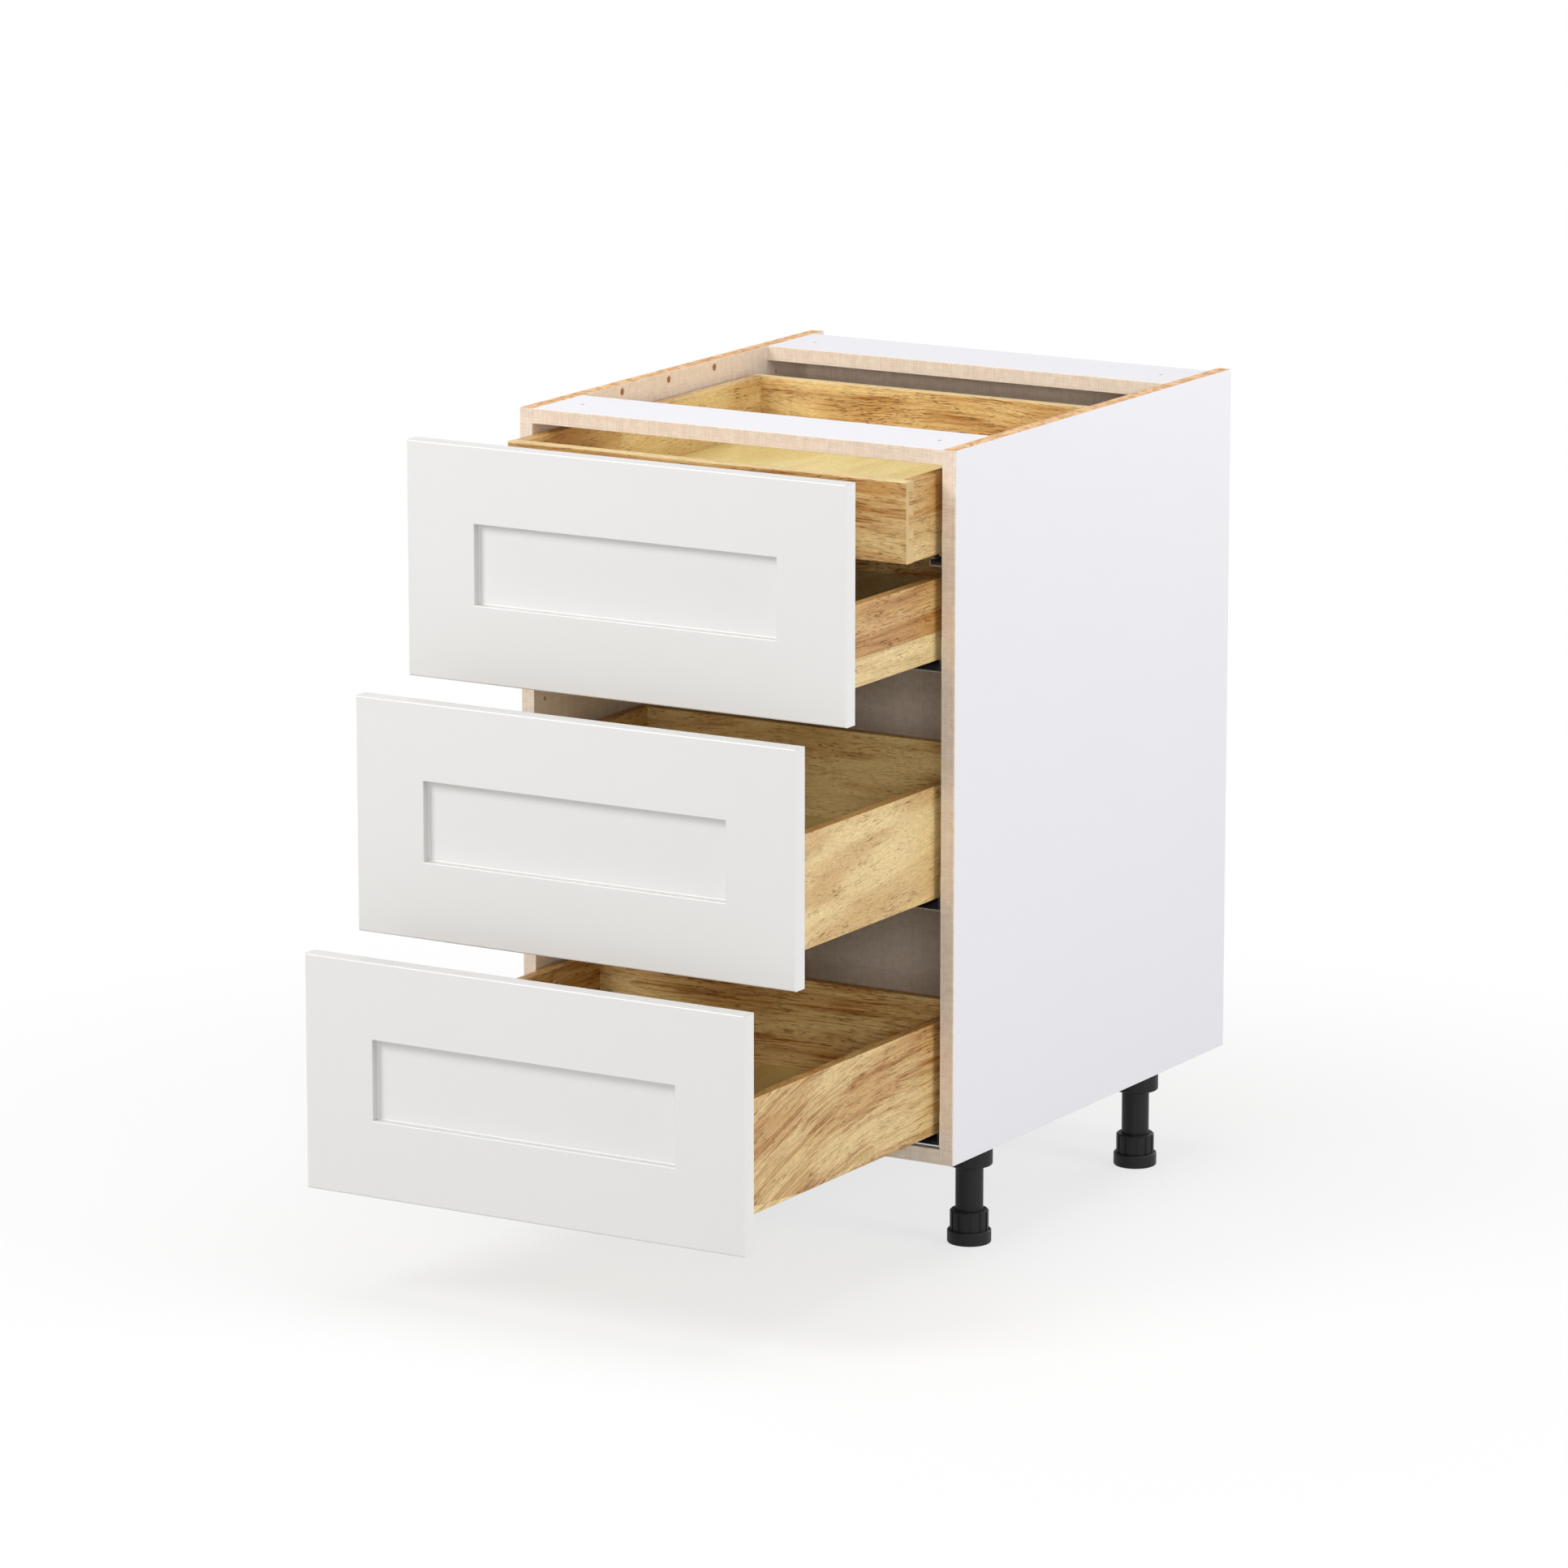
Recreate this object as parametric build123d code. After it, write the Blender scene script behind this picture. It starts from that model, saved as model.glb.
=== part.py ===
from build123d import *
import os
from dataclasses import dataclass
from math import cos, radians, sin

# A kitchen base cabinet: a frameless carcass on four adjustable legs, three drawers with
# frame-and-panel fronts, and a fourth, inner drawer hidden behind the top front.
# Millimetres. X runs to the right seen from the front, Y into the cabinet, Z up.
# Everything is drawn with Y = 0 at the carcass's front edge and Z = 0 on the floor. At the
# end it is shifted along Y, so that the origin is under the middle of the opened cabinet.

# ---- Carcass ----
carcass_width = 533.4
carcass_depth = 609.6
carcass_height = 762.0
leg_height = 114.3
board = 16.0
band = 1.0
skin_ease = 0.4
band_round = 0.9

rail_width = 100.0
rear_rail_setback = 22.6
worktop_hole_diameter = 5.0
worktop_hole_end_inset = 31.7
worktop_hole_edge_inset = 50.0

back_thickness = 6.0
back_groove_depth = 7.0
back_groove_play = 0.2
back_to_rail_edge = 7.0
back_edge_play = 0.5

dowel_diameter = 8.0
dowel_length = 30.0
dowel_in_side = 11.0
dowel_play = 0.1
rail_dowel_inset = 22.0
bottom_dowel_inset = 60.0
spare_dowel_first = 181.0
spare_dowel_pitch = 96.0
spare_dowel_count = 3
spare_dowel_depth = 12.0
system_hole_diameter = 5.0
system_hole_depth = 11.0
system_hole_front_inset = 21.0
system_hole_height = 444.0
rear_hole_behind_rail_front = 19.0
rear_hole_below_top = 30.8

# ---- Legs ----
leg_side_inset = 42.7
front_leg_inset = 112.0
rear_leg_inset = 125.0
leg_tube_diameter = 30.0
leg_tube_wall = 3.0
socket_wall = 9.6
socket_height = 28.5
socket_roof = 4.0
socket_round = 2.5
tube_play = 0.3
tube_end_gap = 11.0
collar_wall = 5.8
collar_play = 0.5
collar_height = 21.5
collar_chamfer = 1.6
rib_count = 12
rib_groove_width = 3.4
rib_groove_depth = 0.9
rib_cutter_depth = 4.0
foot_flange = 2.9
foot_thickness = 15.1
foot_round = 2.0
stem_play = 0.6
stem_height = 44.0
stem_chamfer = 1.0
socket_screw_count = 4
socket_screw_diameter = 4.0
socket_screw_head = 7.0
socket_screw_head_height = 2.4
socket_screw_in_board = 12.0
socket_screw_angle = 45.0
socket_counterbore_depth = 16.0

# ---- Decorative fronts ----
front_count = 3
front_thickness = 18.0
front_gap = 3.5
front_edge_gap = 1.5
front_side_gap = 1.5
front_stand_off = 2.5
frame_width = 82.5
recess_depth = 10.0
front_edge_round = 1.8
recess_edge_round = 1.2
recess_foot_round = 1.2

# ---- Drawer boxes ----
low_box_height = 86.0
high_box_height = 121.0
box_side_gap = 7.7
side_thickness = 13.0
box_front_thickness = 15.0
box_back_thickness = 13.0
box_rear_clearance = 22.5
bottom_thickness = 9.0
bottom_recess = 13.2
bottom_groove_depth = 6.0
bottom_play = 0.2
box_edge_round = 1.5
dovetail_lap = 4.5
dovetail_pin = 12.0
dovetail_tail_pitch = 29.0
dovetail_flare = 1.3
glue_gap = 0.05
inner_box_setback = 39.5
inner_box_top_gap = 9.5

# How far each drawer stands open in the stored pose.
inner_drawer_opening = 100.0
top_drawer_opening = 200.0
middle_drawer_opening = 300.0
bottom_drawer_opening = 400.0

# ---- Runners ----
runner_drop = 12.0
runner_floor_gap = 1.0
runner_steel = 1.5
member_steel = 1.2
runner_front_inset = 2.0
runner_rear_gap = 29.0
runner_tray_width = 16.0
runner_tray_length = 38.0
runner_tray_lip = 6.5
runner_flange_top = 24.0
runner_side_play = 3.3
channel_width = 34.0
upright_top = -0.6
drawer_member_leg_bottom = 0.6
middle_member_play = 1.5
middle_member_roof_play = 2.7
middle_member_floor_play = 3.2
middle_member_lip = 4.0
member_front_play = 2.0
middle_member_front_play = 3.5
middle_member_rear_play = 4.0
bend_round = 1.0
back_notch_play = 4.0
hook_diameter = 5.4
hook_play = 0.3
hook_length = 8.0
hook_out = 8.0
hook_height = 7.0
runner_screw_diameter = 6.2
runner_screw_head = 9.0
runner_screw_head_height = 1.8
runner_screw_in_board = 11.0
runner_screw_height = 14.0
runner_screw_first = 37.0
runner_screw_rear_inset = 60.0

# ---- Locking clips and drawer screws ----
clip_gap = 2.0
clip_width = 24.0
clip_length = 34.0
clip_height = 9.5
clip_plate = 2.5
clip_round = 2.0
clip_lever_width = 12.0
clip_lever_length = 6.0
clip_screw_diameter = 3.5
clip_screw_head = 7.0
clip_screw_head_height = 2.2
clip_screw_in_bottom = 6.0
clip_screw_end_inset = 8.5
front_screw_diameter = 4.0
front_screw_head = 8.0
front_screw_head_height = 2.2
front_screw_in_front = 11.0
front_screw_inset = 38.0
front_screw_low = 36.0
front_screw_below_top = 20.0
screw_play = 0.1
cross_slot_width = 1.0
cross_slot_share = 0.6
screw_head_round_share = 0.45

# ---- Sizes that follow ----
half_width = carcass_width / 2
inner_half = half_width - board
carcass_top = leg_height + carcass_height
rail_bottom = carcass_top - board
floor_top = leg_height + board
rear_rail_back = carcass_depth - rear_rail_setback
rear_rail_front = rear_rail_back - rail_width
back_panel_rear = rear_rail_back - back_to_rail_edge
back_panel_front = back_panel_rear - back_thickness

front_width = carcass_width - 2 * front_side_gap
front_gaps = 2 * front_edge_gap + (front_count - 1) * front_gap
front_height = (carcass_height - front_gaps) / front_count
box_lift = board + runner_drop + runner_floor_gap
box_half = inner_half - box_side_gap
box_inner_half = box_half - side_thickness
box_length = back_panel_front - inner_box_setback - box_rear_clearance

runner_rear = back_panel_front - runner_rear_gap
channel_start = box_side_gap + side_thickness + runner_side_play
channel_end = channel_start + channel_width
leg_x = half_width - leg_side_inset
leg_places = [
    (-leg_x, front_leg_inset),
    (leg_x, front_leg_inset),
    (-leg_x, carcass_depth - rear_leg_inset),
    (leg_x, carcass_depth - rear_leg_inset),
]
tube_radius = leg_tube_diameter / 2
socket_radius = tube_radius + tube_play + socket_wall
collar_radius = tube_radius + collar_wall
foot_radius = collar_radius + foot_flange


@dataclass
class Drawer:
    """One drawer: its box's underside and height, and how it stands in the carcass.

    front_bottom is the lower edge of its decorative front, where it has one.
    """

    name: str
    base: float
    height: float
    opening: float
    closed_face: float
    front_bottom: float = None

    @property
    def has_front(self):
        """Whether the drawer carries a decorative front."""
        return self.front_bottom is not None

    @property
    def face(self):
        """Y of the front face of the box's front board in the stored pose."""
        return self.closed_face - self.opening

    @property
    def rear(self):
        """Y of the rear face of the box in the stored pose."""
        return self.face + box_length


def fronted_drawer(name, place, height, opening):
    """A drawer with a decorative front. Place 0 is the lowest front."""
    front_bottom = leg_height + front_edge_gap + place * (front_height + front_gap)
    base = front_bottom + box_lift
    return Drawer(name, base, height, opening, -front_stand_off, front_bottom)


inner_base = rail_bottom - inner_box_top_gap - low_box_height
inner_drawer = Drawer(
    "inner_drawer", inner_base, low_box_height, inner_drawer_opening, inner_box_setback
)
fronted_drawers = [
    fronted_drawer("bottom_drawer", 0, high_box_height, bottom_drawer_opening),
    fronted_drawer("middle_drawer", 1, high_box_height, middle_drawer_opening),
    fronted_drawer("top_drawer", 2, low_box_height, top_drawer_opening),
]
drawers = [inner_drawer] + fronted_drawers

# The lowest Y is the face of the front that stands furthest out.
foremost = min(drawer.face for drawer in fronted_drawers) - front_thickness
origin_y = (foremost + carcass_depth) / 2


# ---- Helpers ----
def block(x_span, y_span, z_span):
    """A box between two X, two Y and two Z values."""
    size = [abs(span[1] - span[0]) for span in (x_span, y_span, z_span)]
    centre = [(span[0] + span[1]) / 2 for span in (x_span, y_span, z_span)]
    return Pos(*centre) * Box(*size)


def rod_x(x_span, y, z, diameter):
    """A round rod along X."""
    length = x_span[1] - x_span[0]
    centre = (x_span[0] + x_span[1]) / 2
    return Pos(centre, y, z) * Rot(0, 90, 0) * Cylinder(diameter / 2, length)


def rod_y(x, y_span, z, diameter):
    """A round rod along Y."""
    length = y_span[1] - y_span[0]
    centre = (y_span[0] + y_span[1]) / 2
    return Pos(x, centre, z) * Rot(90, 0, 0) * Cylinder(diameter / 2, length)


def rod_z(x, y, z_span, diameter):
    """A round rod along Z."""
    length = z_span[1] - z_span[0]
    return Pos(x, y, (z_span[0] + z_span[1]) / 2) * Cylinder(diameter / 2, length)


def screw(diameter, length, head, head_height):
    """A pan-head screw along +Z from Z = 0, with its head below Z = 0."""
    shank = Pos(0, 0, length / 2) * Cylinder(diameter / 2, length)
    cap = Pos(0, 0, -head_height / 2) * Cylinder(head / 2, head_height)
    cap = fillet(cap.edges().sort_by(Axis.Z)[0], head_height * screw_head_round_share)
    slot_length = head * cross_slot_share
    slot_place = Pos(0, 0, -head_height)
    cap -= slot_place * Box(slot_length, cross_slot_width, head_height)
    cap -= slot_place * Box(cross_slot_width, slot_length, head_height)
    return cap + shank


def both_sides(solids):
    """The right-hand solids and their mirror images on the left."""
    return solids + [mirror(solid, about=Plane.YZ) for solid in solids]


def save(name, solids):
    """Writes one node of one or more solids."""
    placed = [Pos(0, -origin_y, 0) * solid for solid in solids]
    whole = [one for shape in placed for one in shape.solids()]
    shape = whole[0] if len(whole) == 1 else Compound(whole)
    export_step(shape, "parts/" + name + ".step")


# ---- Runner places, measured from the wall of the carcass and the box's underside ----
def runner_block(drawer, inward, y_span, upward):
    """A block given by its distance from the right carcass wall and the box's underside."""
    x_span = (inner_half - inward[1], inner_half - inward[0])
    z_span = (drawer.base + upward[0], drawer.base + upward[1])
    return block(x_span, y_span, z_span)


def runner_screw_places():
    """Y of the three screws that hold each cabinet member."""
    last = runner_rear - runner_screw_rear_inset
    return [runner_screw_first, (runner_screw_first + last) / 2, last]


# ---- Carcass ----
def dowel_places():
    """Y and Z of the dowels that join the rails and the bottom to each side."""
    top = carcass_top - board / 2
    low = leg_height + board / 2
    front_rail = [rail_dowel_inset, rail_width - rail_dowel_inset]
    rear_rail = [rear_rail_front + inset for inset in front_rail]
    middle = carcass_depth / 2
    floor = [bottom_dowel_inset, middle, carcass_depth - bottom_dowel_inset]
    return [(y, top) for y in front_rail + rear_rail] + [(y, low) for y in floor]


def dowel_bores():
    """The bores of every dowel on the right, through the side and the board it meets."""
    inside = inner_half - (dowel_length - dowel_in_side) - dowel_play
    outside = inner_half + dowel_in_side + dowel_play
    diameter = dowel_diameter + 2 * dowel_play
    return [rod_x((inside, outside), y, z, diameter) for y, z in dowel_places()]


def dowels():
    """The dowels on the right."""
    inside = inner_half - (dowel_length - dowel_in_side)
    outside = inner_half + dowel_in_side
    return [rod_x((inside, outside), y, z, dowel_diameter) for y, z in dowel_places()]


def right_side_panel():
    """The right side: raw board with its back groove and every bore on its inner face."""
    panel = block((inner_half, half_width), (band, carcass_depth), (leg_height, carcass_top))
    groove_low = floor_top - back_groove_depth - back_edge_play
    groove_high = rail_bottom + back_groove_depth + back_edge_play
    panel -= block(
        (inner_half, inner_half + back_groove_depth + back_edge_play),
        (back_panel_front - back_groove_play, back_panel_rear + back_groove_play),
        (groove_low, groove_high),
    )
    for bore in dowel_bores():
        panel -= bore
    spare_z = carcass_top - board / 2
    spare_end = inner_half + spare_dowel_depth
    for index in range(spare_dowel_count):
        spare_y = spare_dowel_first + index * spare_dowel_pitch
        panel -= rod_x((inner_half, spare_end), spare_y, spare_z, dowel_diameter)
    system_end = inner_half + system_hole_depth
    rear_y = rear_rail_front + rear_hole_behind_rail_front
    rear_z = carcass_top - rear_hole_below_top
    system_z = leg_height + system_hole_height
    for y, z in [(system_hole_front_inset, system_z), (rear_y, rear_z)]:
        panel -= rod_x((inner_half, system_end), y, z, system_hole_diameter)
    bore = runner_screw_diameter + 2 * screw_play
    bore_end = inner_half + runner_screw_in_board + screw_play
    for drawer in drawers:
        for y in runner_screw_places():
            panel -= rod_x((inner_half, bore_end), y, drawer.base + runner_screw_height, bore)
    return panel


def side_band():
    """The edge band on the right side's front edge, rounded off on the outside."""
    strip = block((inner_half, half_width), (0, band), (leg_height, carcass_top))
    strip = fillet(front_uprights(strip)[-1], band_round)
    return fillet(front_uprights(strip)[0], skin_ease)


def front_uprights(strip):
    """The upright edges of a band's front face, from left to right."""
    return strip.edges().filter_by(Axis.Z).group_by(Axis.Y)[0].sort_by(Axis.X)


def board_between_sides(y_span, z_span):
    """A board that spans between the sides, less the dowel bores in its ends."""
    plank = block((-inner_half, inner_half), y_span, z_span)
    for bore in both_sides(dowel_bores()):
        plank -= bore
    return plank


def cross_band(y, z_span):
    """An edge band on the front edge of a board that spans between the sides."""
    strip = block((-inner_half, inner_half), (y, y + band), z_span)
    return fillet(strip.edges().filter_by(Axis.X).group_by(Axis.Y)[0], skin_ease)


def worktop_bores(y):
    """The two screw holes of a top rail."""
    x = inner_half - worktop_hole_end_inset
    span = (rail_bottom, carcass_top)
    return [rod_z(side * x, y, span, worktop_hole_diameter) for side in (-1, 1)]


def front_top_rail():
    """The front top rail."""
    rail = board_between_sides((band, rail_width), (rail_bottom, carcass_top))
    for bore in worktop_bores(worktop_hole_edge_inset):
        rail -= bore
    return rail


def back_panel_hold(y_play, edge):
    """The slab that the back panel fills, or with play the slab that its grooves clear."""
    half = inner_half + edge
    y_span = (back_panel_front - y_play, back_panel_rear + y_play)
    return block((-half, half), y_span, (floor_top - edge, rail_bottom + edge))


def rear_top_rail():
    """The rear top rail, grooved below for the back panel."""
    y_span = (rear_rail_front + band, rear_rail_back)
    rail = board_between_sides(y_span, (rail_bottom, carcass_top))
    rail -= back_panel_hold(back_groove_play, back_groove_depth + back_edge_play)
    for bore in worktop_bores(rear_rail_front + worktop_hole_edge_inset):
        rail -= bore
    return rail


def socket_screw_offsets():
    """X and Y of a leg socket's screws from the leg's axis."""
    radius = tube_radius + tube_play + socket_wall / 2
    step = 360 / socket_screw_count
    angles = [radians(socket_screw_angle + step * n) for n in range(socket_screw_count)]
    return [(radius * cos(angle), radius * sin(angle)) for angle in angles]


def bottom_panel():
    """The bottom, grooved for the back panel and bored for the leg screws."""
    plank = board_between_sides((band, carcass_depth), (leg_height, floor_top))
    plank -= back_panel_hold(back_groove_play, back_groove_depth + back_edge_play)
    span = (leg_height, leg_height + socket_screw_in_board + screw_play)
    for leg_place in leg_places:
        for offset in socket_screw_offsets():
            x = leg_place[0] + offset[0]
            y = leg_place[1] + offset[1]
            plank -= rod_z(x, y, span, socket_screw_diameter + 2 * screw_play)
    return plank


# ---- Legs, drawn round the Z axis with the floor at Z = 0 ----
def leg_socket():
    """The moulded socket under the bottom panel."""
    low = leg_height - socket_height
    body = rod_z(0, 0, (low, leg_height), 2 * socket_radius)
    body = fillet(body.edges().group_by(Axis.Z)[0], socket_round)
    bore = 2 * (tube_radius + tube_play)
    body -= rod_z(0, 0, (low, leg_height - socket_roof), bore)
    for x, y in socket_screw_offsets():
        body -= rod_z(x, y, (low, leg_height), socket_screw_diameter + 2 * screw_play)
        head = socket_screw_head + 2 * screw_play
        body -= rod_z(x, y, (low, low + socket_counterbore_depth), head)
    return body


def leg_tube():
    """The plain tube between the socket and the foot."""
    low = foot_thickness + tube_end_gap
    span = (low, leg_height - socket_roof - tube_play)
    tube = rod_z(0, 0, span, leg_tube_diameter)
    return tube - rod_z(0, 0, span, leg_tube_diameter - 2 * leg_tube_wall)


def leg_foot():
    """The foot: disc, ribbed collar and the stem that turns inside the tube."""
    disc = rod_z(0, 0, (0, foot_thickness), 2 * foot_radius)
    disc = fillet(disc.edges().filter_by(GeomType.CIRCLE), foot_round)
    collar_top = foot_thickness + collar_height
    collar = rod_z(0, 0, (foot_thickness, collar_top), 2 * collar_radius)
    collar = chamfer(collar.edges().group_by(Axis.Z)[-1], collar_chamfer)
    groove_middle = collar_radius - rib_groove_depth + rib_cutter_depth / 2
    groove = Pos(groove_middle, 0, foot_thickness + collar_height / 2)
    groove = groove * Box(rib_cutter_depth, rib_groove_width, collar_height)
    for rib in range(rib_count):
        collar -= Rot(0, 0, 360 / rib_count * rib) * groove
    collar -= rod_z(0, 0, (foot_thickness, collar_top), leg_tube_diameter + 2 * collar_play)
    stem_diameter = leg_tube_diameter - 2 * (leg_tube_wall + stem_play)
    stem = rod_z(0, 0, (foot_thickness, foot_thickness + stem_height), stem_diameter)
    stem = chamfer(stem.edges().group_by(Axis.Z)[-1], stem_chamfer)
    return disc + collar + stem


def leg_socket_screws():
    """The screws of one leg socket, driven up into the bottom panel."""
    seat = leg_height - socket_height + socket_counterbore_depth
    length = leg_height + socket_screw_in_board - seat
    one = screw(socket_screw_diameter, length, socket_screw_head, socket_screw_head_height)
    return [Pos(x, y, seat) * one for x, y in socket_screw_offsets()]


# ---- Runners, right-hand ones ----
def cabinet_member(drawer):
    """The fixed member: wall flange, front tray, web and the two channel uprights."""
    web = (-runner_drop, -runner_drop + runner_steel)
    full = (runner_front_inset, runner_rear)
    behind_tray = (runner_front_inset + runner_tray_length, runner_rear)
    tray_width = channel_end if drawer.has_front else runner_tray_width
    member = runner_block(drawer, (0, runner_steel), full, (-runner_drop, runner_flange_top))
    member += runner_block(drawer, (0, tray_width), full, web)
    if not drawer.has_front:
        lip = (tray_width - runner_steel, tray_width)
        member += runner_block(drawer, lip, full, (-runner_drop, -runner_drop + runner_tray_lip))
    member += runner_block(drawer, (0, channel_end), behind_tray, web)
    for start in (channel_start, channel_end - runner_steel):
        inward = (start, start + runner_steel)
        member += runner_block(drawer, inward, behind_tray, (-runner_drop, upright_top))
    bore = runner_screw_diameter + 2 * screw_play
    for y in runner_screw_places():
        z = drawer.base + runner_screw_height
        member -= rod_x((inner_half - runner_steel, inner_half), y, z, bore)
    return member


def folded_channel(drawer, inward, y_span, upward, steel):
    """A channel open below, with rounded bends along its top."""
    outer = runner_block(drawer, inward, y_span, upward)
    outer = fillet(outer.edges().filter_by(Axis.Y).group_by(Axis.Z)[-1], bend_round + steel)
    hollow = runner_block(
        drawer,
        (inward[0] + steel, inward[1] - steel),
        y_span,
        (upward[0], upward[1] - steel),
    )
    hollow = fillet(hollow.edges().filter_by(Axis.Y).group_by(Axis.Z)[-1], bend_round)
    return outer - hollow


def middle_member_front(drawer):
    """Y of the middle member's front end, which moves half as far as the drawer."""
    closed = drawer.closed_face + box_front_thickness + middle_member_front_play
    return closed - drawer.opening / 2


def middle_member(drawer):
    """The member between, which slides half as far as the drawer."""
    gap = runner_steel + middle_member_play
    inward = (channel_start + gap, channel_end - gap)
    low = -runner_drop + runner_steel + middle_member_floor_play
    front = middle_member_front(drawer)
    length = box_length - box_front_thickness - box_back_thickness
    y_span = (front, front + length - middle_member_rear_play)
    high = bottom_recess - member_steel - middle_member_roof_play
    member = folded_channel(drawer, inward, y_span, (low, high), member_steel)
    inner = (inward[0] + middle_member_lip, inward[1] - middle_member_lip)
    floor = runner_block(drawer, inward, y_span, (low, low + member_steel))
    return member + (floor - runner_block(drawer, inner, y_span, (low, low + member_steel)))


def hook_x():
    """X of the hook at the rear of the right drawer member."""
    return inner_half - channel_end - hook_out


def drawer_member(drawer):
    """The member under the box's bottom, with the hook that enters the box's back."""
    front = drawer.face + box_front_thickness + member_front_play
    rear = drawer.rear - box_back_thickness
    upward = (drawer_member_leg_bottom, bottom_recess)
    inward = (channel_start, channel_end)
    member = folded_channel(drawer, inward, (front, rear), upward, member_steel)
    plate = (channel_end - member_steel, channel_end + hook_out + hook_diameter / 2)
    member += runner_block(drawer, plate, (rear - member_steel, rear), upward)
    hook_z = drawer.base + hook_height
    return member + rod_y(hook_x(), (rear - member_steel, rear + hook_length), hook_z, hook_diameter)


def runner_screws(drawer):
    """The screws that hold the right cabinet member to the side panel."""
    length = runner_steel + runner_screw_in_board
    one = screw(runner_screw_diameter, length, runner_screw_head, runner_screw_head_height)
    turned = Rot(0, 90, 0) * one
    z = drawer.base + runner_screw_height
    x = inner_half - runner_steel
    return [Pos(x, y, z) * turned for y in runner_screw_places()]


# ---- Drawer boxes ----
def tail_count(drawer):
    """How many dovetails a box side has at each end."""
    return round(drawer.height / dovetail_tail_pitch)


def tails(drawer, base_y, end_y, play):
    """The right side's dovetails at one end, from their root at base_y to end_y."""
    count = tail_count(drawer)
    tail = (drawer.height - (count + 1) * dovetail_pin) / count
    solids = []
    for index in range(count):
        low = drawer.base + dovetail_pin + index * (tail + dovetail_pin)
        high = low + tail
        outline = Polyline(
            (base_y, low - play),
            (end_y, low - dovetail_flare - play),
            (end_y, high + dovetail_flare + play),
            (base_y, high + play),
            close=True,
        )
        face = Plane.YZ * make_face(outline)
        solids.append(Pos(box_inner_half, 0, 0) * extrude(face, side_thickness))
    return solids


def box_inner_faces(drawer):
    """Y of the inner faces of the front board and of the back board."""
    return drawer.face + box_front_thickness, drawer.rear - box_back_thickness


def box_side(drawer):
    """The right side of the box, with its dovetails and the groove for the bottom."""
    front, rear = box_inner_faces(drawer)
    top = drawer.base + drawer.height
    slab = block((box_inner_half, box_half), (front, rear), (drawer.base, top))
    slab = fillet(slab.edges().filter_by(Axis.Y), box_edge_round)
    groove_end = box_inner_half + bottom_groove_depth
    slab -= block((box_inner_half, groove_end), (front, rear), bottom_groove(drawer))
    for tail in tails(drawer, front, drawer.face + dovetail_lap + glue_gap, 0):
        slab += tail
    for tail in tails(drawer, rear, drawer.rear - dovetail_lap - glue_gap, 0):
        slab += tail
    return slab


def bottom_groove(drawer):
    """The Z span of the groove for the box's bottom."""
    low = drawer.base + bottom_recess
    return low, low + bottom_thickness + bottom_play


def end_board(drawer, y_span):
    """A board across the box, eased all round, less the sockets for the dovetails."""
    top = drawer.base + drawer.height
    slab = block((-box_half, box_half), y_span, (drawer.base, top))
    return fillet(slab.edges().filter_by(Axis.X), box_edge_round)


def box_front(drawer):
    """The box's front board."""
    inner = drawer.face + box_front_thickness
    slab = end_board(drawer, (drawer.face, inner))
    for tail in both_sides(tails(drawer, inner, drawer.face + dovetail_lap, glue_gap)):
        slab -= tail
    groove = (inner - bottom_groove_depth, inner)
    slab -= block((-box_inner_half, box_inner_half), groove, bottom_groove(drawer))
    if drawer.has_front:
        bore = front_screw_diameter + 2 * screw_play
        for x, z in front_screw_places(drawer):
            slab -= rod_y(x, (drawer.face, inner), z, bore)
    return slab


def box_back(drawer):
    """The box's back board, notched over the runners and bored for their hooks."""
    inner = drawer.rear - box_back_thickness
    slab = end_board(drawer, (inner, drawer.rear))
    for tail in both_sides(tails(drawer, inner, drawer.rear - dovetail_lap, glue_gap)):
        slab -= tail
    groove = (inner, inner + bottom_groove_depth)
    slab -= block((-box_inner_half, box_inner_half), groove, bottom_groove(drawer))
    notch_start = box_side_gap + side_thickness
    notch = (notch_start, channel_end + back_notch_play)
    passage = runner_block(drawer, notch, (inner, drawer.rear), (0, bottom_recess))
    hook_span = (inner, inner + hook_length + hook_play)
    hook_z = drawer.base + hook_height
    hook = rod_y(hook_x(), hook_span, hook_z, hook_diameter + 2 * hook_play)
    for cut in both_sides([passage, hook]):
        slab -= cut
    return slab


def box_bottom(drawer):
    """The plywood bottom, held in grooves all round, with its corners cut off square."""
    front, rear = box_inner_faces(drawer)
    reach = bottom_groove_depth - bottom_play
    low = drawer.base + bottom_recess
    z_span = (low, low + bottom_thickness)
    across = block((-box_inner_half, box_inner_half), (front - reach, rear + reach), z_span)
    half = box_inner_half + reach
    plate = across + block((-half, half), (front, rear), z_span)
    for x, y in clip_screw_places(drawer):
        bore_span = (low, low + clip_screw_in_bottom + screw_play)
        plate -= rod_z(x, y, bore_span, clip_screw_diameter + 2 * screw_play)
    return plate


def front_screw_places(drawer):
    """X and Z of the screws that hold the decorative front to the box."""
    x = box_half - front_screw_inset
    top = drawer.base + drawer.height - front_screw_below_top
    heights = (drawer.base + front_screw_low, top)
    return [(side * x, z) for side in (-1, 1) for z in heights]


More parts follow.
